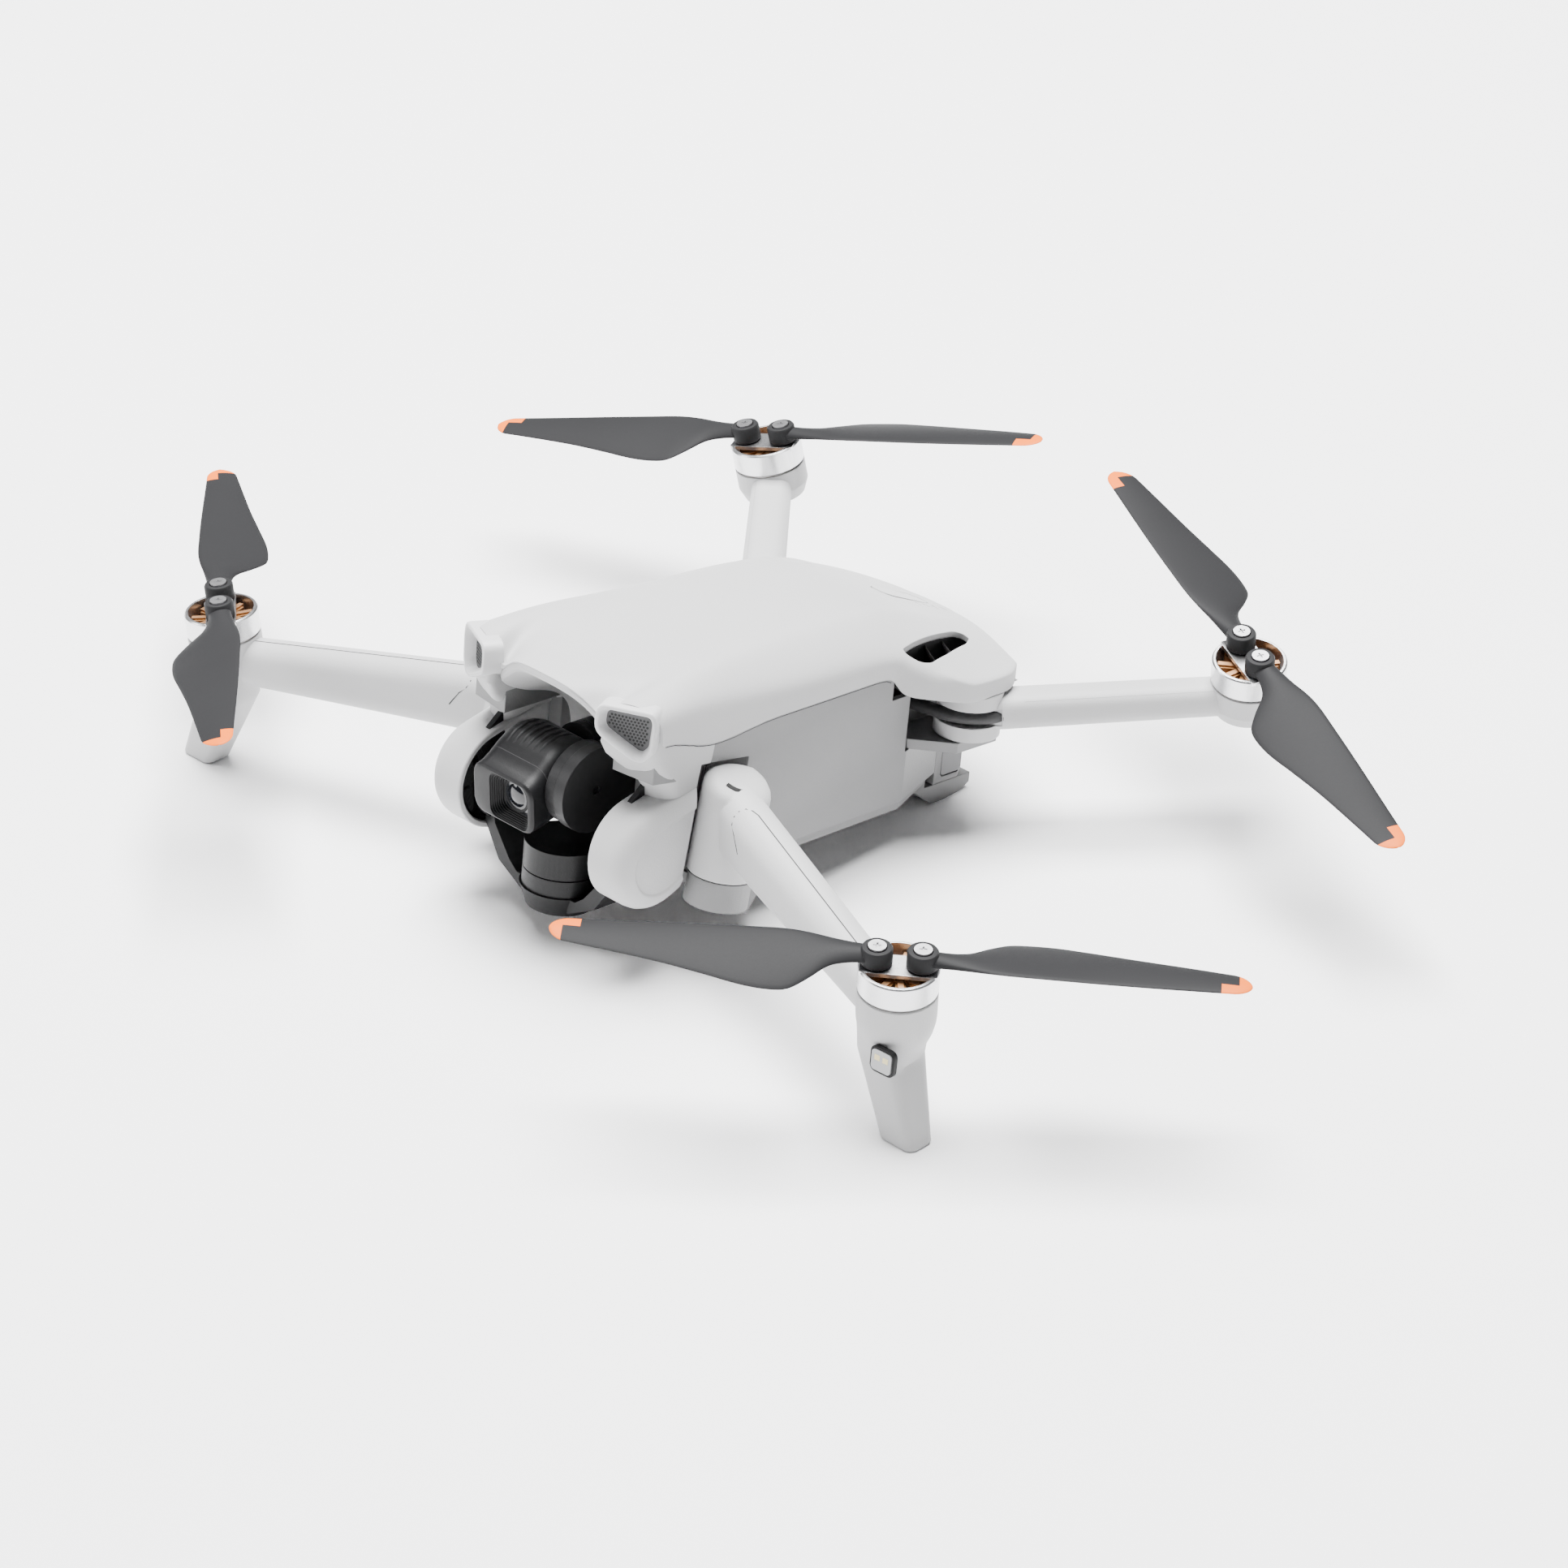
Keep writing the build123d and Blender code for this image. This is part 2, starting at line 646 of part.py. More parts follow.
with BuildPart() as battery_pack:
    with BuildSketch(level(15.0)):
        with Locations((0, 36.0 - 35.0)):
            RectangleRounded(2 * 20.8, 70.0, 3.0)
    extrude(amount=21.0)
keep(battery_pack.part, "battery_pack")

LATCH = (39.0, 46.0, 12.0, 24.5)     # v and w limits of a latch button
with BuildPart() as battery_cap:
    with BuildSketch(level(10.4)):
        add(two_sided(((0, 36.0), (24.4, 36.5), (24.4, 45.0), (22.5, TAIL_END), (0, TAIL_END))))
    extrude(amount=26.6 - 10.4)
    with BuildSketch(level(26.6)):
        with Locations((0, (36.0 + TAIL_END - 0.8) / 2)):
            Rectangle(2 * 20.8, TAIL_END - 0.8 - 36.0)
    extrude(amount=36.0 - 26.6)
    for x in (21.0, -25.0):
        with BuildSketch(side(x)):
            with Locations(((LATCH[0] + LATCH[1]) / 2, (LATCH[2] + LATCH[3]) / 2)):
                RectangleRounded(LATCH[1] - LATCH[0] + 2 * GAP, LATCH[3] - LATCH[2] + 2 * GAP, 1.2)
        extrude(amount=4.0, mode=Mode.SUBTRACT)
keep(battery_cap.part, "battery_cap")

with BuildPart() as battery_latch:
    with BuildSketch(side(22.4)):
        with Locations(((LATCH[0] + LATCH[1]) / 2, (LATCH[2] + LATCH[3]) / 2)):
            RectangleRounded(LATCH[1] - LATCH[0], LATCH[3] - LATCH[2], 1.0)
    extrude(amount=24.3 - 22.4)
keep_pair(battery_latch, "battery_latch")

# ---- Rotors -----------------------------------------------------------------------------------

# Blade stations: distance from pivot, chord, leading-edge offset, pitch in degrees, thickness
BLADE = (
    (2.0, 5.4, 2.7, 4.0, 2.4),
    (6.0, 6.2, 3.2, 8.0, 2.0),
    (10.0, 8.2, 3.8, 11.0, 1.7),
    (14.0, 12.8, 4.6, 13.0, 1.5),
    (18.0, 16.4, 5.1, 14.0, 1.4),
    (22.0, 17.2, 5.2, 13.8, 1.3),
    (28.0, 16.6, 5.0, 12.6, 1.2),
    (36.0, 14.6, 4.7, 10.8, 1.1),
    (46.0, 12.0, 4.2, 8.6, 1.0),
    (58.0, 9.3, 3.5, 6.2, 0.9),
    (BLADE_TIP_R - SCREW_SPACING / 2, 6.6, 2.8, 4.0, 0.8),
)
BLADE_MID = -2.7                     # blade height at its pivot line, below the screw top


def turned(frame, angle):
    """The frame turned about its own z axis."""
    c, s = cos(radians(angle)), sin(radians(angle))
    return Plane(origin=frame.origin, x_dir=frame.x_dir * c + frame.y_dir * s, z_dir=frame.z_dir)


def rotor_plane(hub, cant, turn):
    """Rotor frame: origin at the screw top, z along the shaft and x towards blade a."""
    axis = Vector(*cant).normalized()
    return turned(Plane(origin=hub, x_dir=Vector(1, 0, 0) - axis * axis.X, z_dir=axis), turn)


def blade(frame, lead):
    """A folding blade: frame sits at its screw, x along the blade."""
    with BuildPart() as vane:
        for distance, chord, leading, pitch, thickness in BLADE:
            c, s = cos(radians(pitch)), sin(radians(pitch))
            edge = (lead * leading * c, leading * s)
            trail = (lead * (leading - chord) * c, (leading - chord) * s)
            middle = Vector(lead * (leading - 0.42 * chord) * c, (leading - 0.42 * chord) * s)
            lift = Vector(-lead * s, c) * thickness
            with BuildSketch(Plane(origin=frame.from_local_coords(Vector(distance, 0, BLADE_MID)),
                                   x_dir=frame.y_dir, z_dir=frame.x_dir)):
                with BuildLine():
                    ThreePointArc(edge, middle + lift * 0.7, trail)
                    ThreePointArc(trail, middle - lift * 0.3, edge)
                make_face()
        loft(ruled=True)
        with BuildSketch(frame.offset(-4.75)):
            Circle(3.5)
        extrude(amount=4.4)
        with BuildSketch(frame.offset(-1.3)):
            Circle(2.15)
        extrude(amount=3, mode=Mode.SUBTRACT)
        with BuildSketch(frame.offset(-6)):
            Circle(1.2 + RUN_FIT)
        extrude(amount=8, mode=Mode.SUBTRACT)
    return vane


def rotor(where, hub, cant, turn, lead):
    """Bell, screws, stator and two blades of a left-hand motor, and their mirror images."""
    frame = rotor_plane(hub, cant, turn)
    screws = [(SCREW_SPACING / 2, 0), (-SCREW_SPACING / 2, 0)]

    with BuildPart() as bell:
        with BuildSketch(frame.offset(BELL_LOW)):
            Circle(BELL_R)
            Circle(BELL_R - 0.9, mode=Mode.SUBTRACT)
        extrude(amount=BELL_TOP - BELL_LOW)
        chamfer(bell.edges().filter_by(GeomType.CIRCLE).sort_by(SortBy.RADIUS)[-2:], 0.35)
        with BuildSketch(frame.offset(BELL_TOP - 1.0)):
            RectangleRounded(2 * BELL_R - 0.8, 7.2, 0.5)
            with Locations(*screws):
                Circle(1.2, mode=Mode.SUBTRACT)
        extrude(amount=1.0)
        with BuildSketch(frame.offset(BELL_TOP - 1.6)):
            Circle(2.6)
        extrude(amount=1.0)
        with BuildSketch(frame.offset(-15.8)):
            Circle(1.0)
        extrude(amount=15.8 + BELL_TOP - 0.5)
    keep_pair(bell, f"motor_bell_{where}")

    with BuildPart() as stator:
        with BuildSketch(frame.offset(-15.4)):
            Circle(7.4)
        extrude(amount=1.6)
        with BuildSketch(frame.offset(-13.8)):
            Circle(3.0)
        extrude(amount=6.8)
        for height, length, width in ((-12.4, 7.5, 1.3), (-11.9, 6.9, 2.3)):
            with BuildSketch(frame.offset(height)):
                with PolarLocations(0, 9):
                    with Locations((length / 2 + 0.9, 0)):
                        Rectangle(length - 2.0, width)
            extrude(amount=-2 * (height + 9.6))
        with BuildSketch(frame.offset(-16)):
            Circle(1.0 + RUN_FIT)
        extrude(amount=10, mode=Mode.SUBTRACT)
    keep_pair(stator, f"motor_stator_{where}")

    with BuildPart() as screw_pair:
        with BuildSketch(frame.offset(BELL_TOP - 1.0)):
            with Locations(*screws):
                Circle(1.2)
        extrude(amount=1.0 - BELL_TOP - 1.2)
        with BuildSketch(frame.offset(-1.2)):
            with Locations(*screws):
                Circle(2.0)
        extrude(amount=1.2)
        with BuildSketch(frame.offset(-0.4)):
            with Locations(*screws):
                Rectangle(1.8, 0.4)
                Rectangle(0.4, 1.8)
        extrude(amount=1, mode=Mode.SUBTRACT)
    keep_pair(screw_pair, f"hub_screws_{where}")

    for letter, direction in (("a", 0), ("b", 180)):
        facing = turned(frame, direction)
        at_screw = Plane(origin=facing.from_local_coords(Vector(SCREW_SPACING / 2, 0, 0)), x_dir=facing.x_dir,
                         z_dir=facing.z_dir)
        keep_pair(blade(at_screw, lead), f"blade_{where}_{letter}")


rotor("front", HUB_FRONT, CANT_FRONT, SPIN_FRONT, -1)
rotor("rear", HUB_REAR, CANT_REAR, SPIN_REAR, 1)

# ---- Arms -------------------------------------------------------------------------------------


def across(start, end):
    """Section plane at start, square to the line towards end, with its x axis level."""
    along = (end - start).normalized()
    return Plane(origin=start, x_dir=body.z_dir.cross(along), z_dir=along)


def motor_seat(frame):
    """Space for the stator and the end of the shaft in a motor pod."""
    with BuildPart() as seat:
        with BuildSketch(frame.offset(-15.4)):
            Circle(7.5)
        extrude(amount=20.0)
        with BuildSketch(frame.offset(-16.4)):
            Circle(1.6)
        extrude(amount=2)
    return seat.part


front = rotor_plane(HUB_FRONT, CANT_FRONT, 0)
FOOT = (118.4, -69.5)
LIGHT_Z = 22.0
leg_foot = Plane(origin=(*FOOT, 0), x_dir=(1, 0, 0), z_dir=(0, 0, 1))
light_plane = Plane(origin=(116.4, -75.0, LIGHT_Z), x_dir=(1, 0, 0), z_dir=(0.05, -1, 0.12))

with BuildPart() as front_arm:
    start = in_body(*PIVOT_FRONT, 31.0)
    end = front.from_local_coords(Vector(0, 0, -18.0))
    with BuildSketch(across(start, end)):
        RectangleRounded(12.0, 17.0, 4.0)
    with BuildSketch(across(end, end + end - start)):
        RectangleRounded(10.5, 11.0, 4.0)
    loft()
    with BuildSketch(hinge_plane(PIVOT_FRONT, KNUCKLE_LOW, HINGE_LEAN)):
        Circle(KNUCKLE_R)
    extrude(amount=KNUCKLE_HIGH - KNUCKLE_LOW)
    with BuildSketch(front.offset(-20.0)):
        Circle(BELL_R)
    extrude(amount=20.0 + POD_TOP)
    with BuildSketch(front.offset(-20.0)):
        Circle(BELL_R)
    with BuildSketch(front.offset(-27.0)):
        with Locations((0, -1.0)):
            RectangleRounded(13.0, 11.5, 3.0)
    loft()
    with BuildSketch(front.offset(-27.0)):
        with Locations((0, -1.0)):
            RectangleRounded(13.0, 11.5, 3.0)
    with BuildSketch(leg_foot):
        RectangleRounded(10.4, 7.6, 2.2)
    loft()
    add(motor_seat(front), mode=Mode.SUBTRACT)
    with BuildSketch(hinge_plane(PIVOT_FRONT, KNUCKLE_LOW - 1, HINGE_LEAN)):
        Circle(PIN_R + RUN_FIT)
    extrude(amount=22.5, mode=Mode.SUBTRACT)
    with BuildSketch(light_plane.offset(-1.6)):
        RectangleRounded(5.6, 5.0, 1.0)
    extrude(amount=5, mode=Mode.SUBTRACT)
    with BuildSketch(Plane.XY):
        with Locations(FOOT):
            Rectangle(60, 60)
    extrude(amount=-10, mode=Mode.SUBTRACT)
keep_pair(front_arm, "front_arm")

with BuildPart() as leg_light:
    with BuildSketch(light_plane.offset(-1.6)):
        RectangleRounded(5.5, 4.9, 0.95)
    extrude(amount=2.2)
keep_pair(leg_light, "leg_light")

rear = rotor_plane(HUB_REAR, CANT_REAR, 0)
SLOT_LOW, SLOT_HIGH = 33.6, 37.8
with BuildPart() as rear_arm:
    start = in_body(*PIVOT_REAR, 35.0)
    end = rear.from_local_coords(Vector(0, 0, -15.6))
    with BuildSketch(across(start, end)):
        RectangleRounded(11.0, 8.6, 3.5)
    with BuildSketch(across(end, end + end - start)):
        RectangleRounded(10.0, 8.2, 3.5)
    loft()
    with BuildSketch(hinge_plane(PIVOT_REAR, FORK_LOW, 0)):
        Circle(KNUCKLE_R)
    extrude(amount=FORK_HIGH - FORK_LOW)
    with BuildSketch(rear.offset(-19.5)):
        Circle(BELL_R - 1.2)
    with BuildSketch(rear.offset(-16.5)):
        Circle(BELL_R)
    loft()
    with BuildSketch(rear.offset(-16.5)):
        Circle(BELL_R)
    extrude(amount=16.5 + POD_TOP)
    add(motor_seat(rear), mode=Mode.SUBTRACT)
    with BuildSketch(hinge_plane(PIVOT_REAR, FORK_LOW - 1, 0)):
        Circle(PIN_R + RUN_FIT)
    extrude(amount=14, mode=Mode.SUBTRACT)
    with BuildSketch(level(SLOT_LOW)):                # cable slot along the outer side of the fork
        with BuildLine():
            Polyline((25.0, 24.0), (44.0, 24.0), (62.0, 42.0), (54.0, 46.5), (40.8, 33.2), (25.0, 30.6),
                     close=True)
        make_face()
    extrude(amount=SLOT_HIGH - SLOT_LOW, mode=Mode.SUBTRACT)
keep_pair(rear_arm, "rear_arm")

CABLE_R = 1.7
CABLE_ROUTE = ((24.8, 21.9), (32.0, 24.5), (41.5, 27.4), (53.0, 40.6))
with BuildPart() as arm_cable:
    cable_level = level((SLOT_LOW + SLOT_HIGH) / 2)
    with BuildLine(cable_level) as route:
        FilletPolyline(*CABLE_ROUTE, radius=9.0)
    with BuildSketch(Plane(origin=route.line @ 0, z_dir=route.line % 0)):
        Circle(CABLE_R)
    sweep()
keep_pair(arm_cable, "arm_cable")
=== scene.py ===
import json
from math import atan2, cos, radians, sin, sqrt, tan, pi

import bmesh
import bpy
from mathutils import Matrix, Vector
from mathutils.bvhtree import BVHTree


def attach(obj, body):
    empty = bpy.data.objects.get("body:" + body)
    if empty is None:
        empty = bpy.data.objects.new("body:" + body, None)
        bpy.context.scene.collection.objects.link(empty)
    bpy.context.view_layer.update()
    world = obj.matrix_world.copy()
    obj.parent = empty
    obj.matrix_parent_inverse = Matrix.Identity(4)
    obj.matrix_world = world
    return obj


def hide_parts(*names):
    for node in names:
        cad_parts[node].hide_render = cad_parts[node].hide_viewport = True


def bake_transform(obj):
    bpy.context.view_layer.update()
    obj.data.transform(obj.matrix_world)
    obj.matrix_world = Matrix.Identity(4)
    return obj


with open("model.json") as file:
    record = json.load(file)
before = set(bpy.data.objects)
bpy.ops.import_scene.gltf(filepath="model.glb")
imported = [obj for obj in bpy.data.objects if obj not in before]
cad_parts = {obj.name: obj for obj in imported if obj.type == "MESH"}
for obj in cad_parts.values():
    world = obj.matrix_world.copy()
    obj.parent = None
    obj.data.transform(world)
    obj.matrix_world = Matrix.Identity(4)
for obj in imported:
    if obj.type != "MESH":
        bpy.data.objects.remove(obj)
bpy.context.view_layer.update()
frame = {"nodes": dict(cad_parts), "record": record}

# ---- Camera and light ------------------------------------------------------------------


def aim(obj, place, target):
    """Stand an object at a place, looking at a target."""
    obj.location = place
    obj.rotation_mode = "QUATERNION"
    obj.rotation_quaternion = (Vector(target) - Vector(place)).to_track_quat("-Z", "Y")


def link(obj):
    bpy.context.scene.collection.objects.link(obj)
    return obj


camera = link(bpy.data.objects.new("camera", bpy.data.cameras.new("camera")))
camera.data.sensor_width = 36.0
camera.data.lens = 122.98
camera.data.clip_end = 20.0
place = Vector((0.78095, -0.77015, 0.65590))
aim(camera, place, place + Vector((-0.60940, 0.60996, -0.50654)))
bpy.context.scene.camera = camera


def softbox(name, place, size, power):
    """A large rectangular light that faces the middle of the craft."""
    data = bpy.data.lights.new(name, "AREA")
    data.shape = "RECTANGLE"
    data.size, data.size_y = size
    data.energy = power
    aim(link(bpy.data.objects.new(name, data)), Vector(place), (0, 0, 0.03))


softbox("top_light", (-0.35, 0.30, 2.2), (1.6, 1.6), 300)
softbox("front_light", (-1.5, -1.5, 1.0), (0.9, 0.9), 22)
world = bpy.data.worlds.new("studio")
bpy.context.scene.world = world
world.use_nodes = True
sky = world.node_tree.nodes["Background"]
sky.inputs["Color"].default_value = (0.96, 0.97, 1.0, 1)
sky.inputs["Strength"].default_value = 0.14

# ---- Materials --------------------------------------------------------------------------------


CLOUD_SCALE = 30.0
EDGE_FROM, EDGE_TO = 0.52, 0.62     # pointiness where an edge starts to pale, and where it is palest


def material(name, tone, rough, metal=0.0, grain=0.15, grain_size=0.25, bevel=0.0, wear=0.05,
             rough_spread=0.08, coat=0.0, mottle=0.05, sheen=0.5):
    """A procedural finish: mottled tone, fine moulded grain, softened and slightly paler edges.

    grain_size is in millimetres and bevel in metres. sheen is the specular level.
    """
    mat = bpy.data.materials.new(name)
    mat.use_nodes = True
    tree = mat.node_tree
    tree.nodes.clear()
    new = tree.nodes.new
    out = new("ShaderNodeOutputMaterial")
    shader = new("ShaderNodeBsdfPrincipled")
    tree.links.new(shader.outputs[0], out.inputs[0])
    shader.inputs["Metallic"].default_value = metal
    shader.inputs["Coat Weight"].default_value = coat
    shader.inputs["Specular IOR Level"].default_value = sheen
    place = new("ShaderNodeTexCoord")
    cloud = new("ShaderNodeTexNoise")
    cloud.inputs["Scale"].default_value = CLOUD_SCALE
    cloud.inputs["Detail"].default_value = 5
    tree.links.new(place.outputs["Object"], cloud.inputs["Vector"])
    ramp = new("ShaderNodeValToRGB")
    ramp.color_ramp.elements[0].position = 0.3
    ramp.color_ramp.elements[1].position = 0.7
    ramp.color_ramp.elements[0].color = (*[c * (1 - mottle) for c in tone], 1)
    ramp.color_ramp.elements[1].color = (*[min(1, c * (1 + mottle)) for c in tone], 1)
    tree.links.new(cloud.outputs["Fac"], ramp.inputs["Fac"])
    edge = new("ShaderNodeNewGeometry")
    sharp = new("ShaderNodeMapRange")
    sharp.inputs["From Min"].default_value = EDGE_FROM
    sharp.inputs["From Max"].default_value = EDGE_TO
    sharp.inputs["To Max"].default_value = wear
    tree.links.new(edge.outputs["Pointiness"], sharp.inputs["Value"])
    mix = new("ShaderNodeMix")
    mix.data_type = "RGBA"
    mix.blend_type = "ADD"
    tree.links.new(sharp.outputs["Result"], mix.inputs["Factor"])
    tree.links.new(ramp.outputs["Color"], mix.inputs["A"])
    mix.inputs["B"].default_value = (1, 1, 1, 1)
    tree.links.new(mix.outputs["Result"], shader.inputs["Base Color"])
    fine = new("ShaderNodeTexNoise")
    fine.inputs["Scale"].default_value = 1000.0 / grain_size
    fine.inputs["Detail"].default_value = 2
    tree.links.new(place.outputs["Object"], fine.inputs["Vector"])
    gloss = new("ShaderNodeMapRange")
    gloss.inputs["To Min"].default_value = max(0.02, rough - rough_spread)
    gloss.inputs["To Max"].default_value = min(1, rough + rough_spread)
    tree.links.new(fine.outputs["Fac"], gloss.inputs["Value"])
    tree.links.new(gloss.outputs["Result"], shader.inputs["Roughness"])
    bump = new("ShaderNodeBump")
    bump.inputs["Strength"].default_value = grain
    bump.inputs["Distance"].default_value = 0.0001
    tree.links.new(fine.outputs["Fac"], bump.inputs["Height"])
    if bevel:
        soft = new("ShaderNodeBevel")
        soft.samples = 4
        soft.inputs["Radius"].default_value = bevel
        tree.links.new(soft.outputs[0], bump.inputs["Normal"])
    tree.links.new(bump.outputs[0], shader.inputs["Normal"])
    return mat


def glass(name, tone, coat=1.0):
    """A coated lens or a light's cover, with faint dust."""
    return material(name, tone, 0.12, grain=0.02, grain_size=1.5, wear=0.0, rough_spread=0.02, coat=coat)


shell = material("shell_plastic", (0.46, 0.46, 0.463), 0.55, grain=0.5, grain_size=0.35, bevel=0.0004,
                 wear=0.03, mottle=0.02)
frame_grey = material("frame_plastic", (0.16, 0.16, 0.162), 0.5, grain=0.45, grain_size=0.35,
                      bevel=0.0004, mottle=0.03)
dark = material("dark_plastic", (0.006, 0.006, 0.0065), 0.5, grain=0.3, bevel=0.0002, wear=0.01,
                sheen=0.2)
gimbal = material("gimbal_black", (0.007, 0.007, 0.0077), 0.42, grain=0.25, bevel=0.0002,
                  wear=0.008, sheen=0.2)
blade = material("blade_plastic", (0.020, 0.020, 0.021), 0.5, grain=0.15, wear=0.008, sheen=0.07)
bell = material("bell_metal", (0.66, 0.66, 0.67), 0.3, metal=1.0, grain=0.05, bevel=0.0002, wear=0.1)
winding = material("winding", (0.36, 0.17, 0.06), 0.4, metal=0.7, grain=0.4, bevel=0.0001)
steel = material("screw_steel", (0.6, 0.6, 0.61), 0.32, metal=1.0, grain=0.08, wear=0.1)
lens = glass("lens", (0.006, 0.007, 0.010), coat=0.3)
light_lens = glass("light_lens", (0.34, 0.345, 0.35))
led = material("led", (0.42, 0.42, 0.42), 0.3, grain=0.05)
board = material("board", (0.01, 0.07, 0.03), 0.35)
case = material("battery_case", (0.05, 0.05, 0.053), 0.45, bevel=0.0003, sheen=0.4)
latch = material("latch_plastic", (0.12, 0.12, 0.125), 0.5, bevel=0.0003)
damper = material("damper_rubber", (0.02, 0.02, 0.02), 0.7)
# Dark joint lines on the arms and camera, and also the painted shadow line under the shell's side rim
seam_line_and_shadow = material("seam_line_and_shadow", (0.02, 0.02, 0.021), 0.7, grain=0.1, wear=0.0)
vane_plastic = material("vane_plastic", (0.05, 0.05, 0.052), 0.4, grain=0.2, wear=0.2)
bezel = material("bezel_plastic", (0.56, 0.56, 0.565), 0.45, grain=0.3, grain_size=0.35, bevel=0.0002,
                 wear=0.03, mottle=0.02)
grille_dark = material("grille", (0.03, 0.03, 0.032), 0.5, grain=0.2)
diode = material("diode_yellow", (0.72, 0.62, 0.30), 0.4, grain=0.05)
hole_black = material("grille_holes", (0.003, 0.003, 0.003), 0.8, grain=0.1, wear=0.0)
braid = material("cable_braid", (0.012, 0.012, 0.013), 0.65, grain=0.6, grain_size=0.6)

finish = {"shell_plastic": shell, "frame_plastic": frame_grey, "dark_plastic": dark, "gimbal_black": gimbal,
          "blade_plastic": blade, "bell_metal": bell, "winding": winding, "screw_steel": steel, "lens": lens,
          "light_lens": light_lens, "led": led, "board": board, "battery_case": case, "latch_plastic": latch,
          "damper_rubber": damper, "cable_braid": braid}
for part in frame["record"]["subparts"]:
    node = frame["nodes"][part["node"]]
    node.data.materials.clear()
    node.data.materials.append(finish[part["material_slot"]])

PITCH = radians(7.0)                # how far the body stands nose-up


def at(x, v, w):
    """A point of the nose-up body frame, given in millimetres: x across, v rearwards, w up."""
    return Vector((x, v * cos(PITCH) + w * sin(PITCH), w * cos(PITCH) - v * sin(PITCH))) / 1000


def between(table, v, column=1):
    """A table's column read at v, in straight lines between its rows."""
    if v <= table[0][0]:
        return table[0][column]
    for low, high in zip(table, table[1:]):
        if v <= high[0]:
            part = (v - low[0]) / (high[0] - low[0])
            return low[column] + part * (high[column] - low[column])
    return table[-1][column]


def finished(obj):
    """Turn an object's modifiers into real mesh."""
    view = bpy.context.view_layer
    view.update()
    solid = bpy.data.meshes.new_from_object(obj.evaluated_get(bpy.context.evaluated_depsgraph_get()))
    obj.modifiers.clear()
    obj.data = solid
    solid.polygons.foreach_set("use_smooth", [True] * len(solid.polygons))
    return obj


def raw(name, points, faces, mat):
    """A mesh object with one material."""
    data = bpy.data.meshes.new(name)
    data.from_pydata(points, [], faces)
    data.materials.append(mat)
    obj = link(bpy.data.objects.new(name, data))
    tidy = bmesh.new()
    tidy.from_mesh(data)
    bmesh.ops.recalc_face_normals(tidy, faces=tidy.faces)
    tidy.to_mesh(data)
    tidy.free()
    return obj


def net(name, rows, mat, ring=False, levels=3, thick=0.0, caps=False, crease=None):
    """A smooth surface over a grid of control points.

    crease gives the sharpness of an edge from the (row, column) of its two ends.
    """
    wide = len(rows[0])
    faces = [(r * wide + c, r * wide + (c + 1) % wide, (r + 1) * wide + (c + 1) % wide, (r + 1) * wide + c)
             for r in range(len(rows) - 1) for c in range(wide if ring else wide - 1)]
    if caps:
        faces += [tuple(range(wide)), tuple(range((len(rows) - 1) * wide, len(rows) * wide))]
    obj = raw(name, [p for row in rows for p in row], faces, mat)
    if crease:
        sharp = obj.data.attributes.new("crease_edge", "FLOAT", "EDGE")
        for edge in obj.data.edges:
            sharp.data[edge.index].value = crease(*[divmod(k, wide) for k in edge.vertices])
    if levels:
        soft = obj.modifiers.new("soft", "SUBSURF")
        soft.levels = soft.render_levels = levels
    if thick:
        wall = obj.modifiers.new("wall", "SOLIDIFY")
        wall.thickness = thick / 1000
        wall.offset = -1
        wall.use_even_offset = True
    return finished(obj)


def both(points):
    """A row from its left half: mirrored points first, then the given ones from the middle out."""
    return [Vector((-p.x, p.y, p.z)) for p in reversed(points[1:])] + points


def cut(obj, *tools, whole=True):
    """Take the tools' volumes out of an object, and remove the tools.

    whole=False is quicker, for a skin that doesn't cross itself.
    """
    for tool in tools:
        bite = obj.modifiers.new("cut", "BOOLEAN")
        bite.operation = "DIFFERENCE"
        bite.solver = "EXACT"
        bite.use_self = whole
        bite.object = tool
        finished(obj)
        bpy.data.objects.remove(tool)
    return obj


def prism(name, outline, depth, mat):
    """A solid between two outlines: the given points and the same points moved by depth."""
    count = len(outline)
    faces = [(k, (k + 1) % count, (k + 1) % count + count, k + count) for k in range(count)]
    return raw(name, [*outline, *[p + depth for p in outline]],
               faces + [tuple(range(count)), tuple(range(count, 2 * count))], mat)


def arced(points, radius, steps=5):
    """A closed outline of 2-D points with its corners rounded."""
    out = []
    count = len(points)
    for k in range(count):
        here = Vector(points[k])
        back, ahead = Vector(points[k - 1]) - here, Vector(points[(k + 1) % count]) - here
        reach = min(radius, back.length * 0.45, ahead.length * 0.45)
        a, b = here + back.normalized() * reach, here + ahead.normalized() * reach
        for t in [n / steps for n in range(steps + 1)]:
            out.append(a * (1 - t) ** 2 + here * 2 * t * (1 - t) + b * t * t)
    return out


# ---- Turned and gathered shapes -----------------------------------------------------------------


class Axes:
    """A local frame in millimetres: origin, x, y and z directions."""

    def __init__(self, origin, z, x=(1, 0, 0), turn=0.0):
        self.origin, self.z = Vector(origin), Vector(z).normalized()
        x = (Vector(x) - self.z * self.z.dot(Vector(x))).normalized()
        self.x = Matrix.Rotation(turn, 3, self.z) @ x
        self.y = self.z.cross(self.x)

    def at(self, x, y, z):
        return (self.origin + self.x * x + self.y * y + self.z * z) / 1000


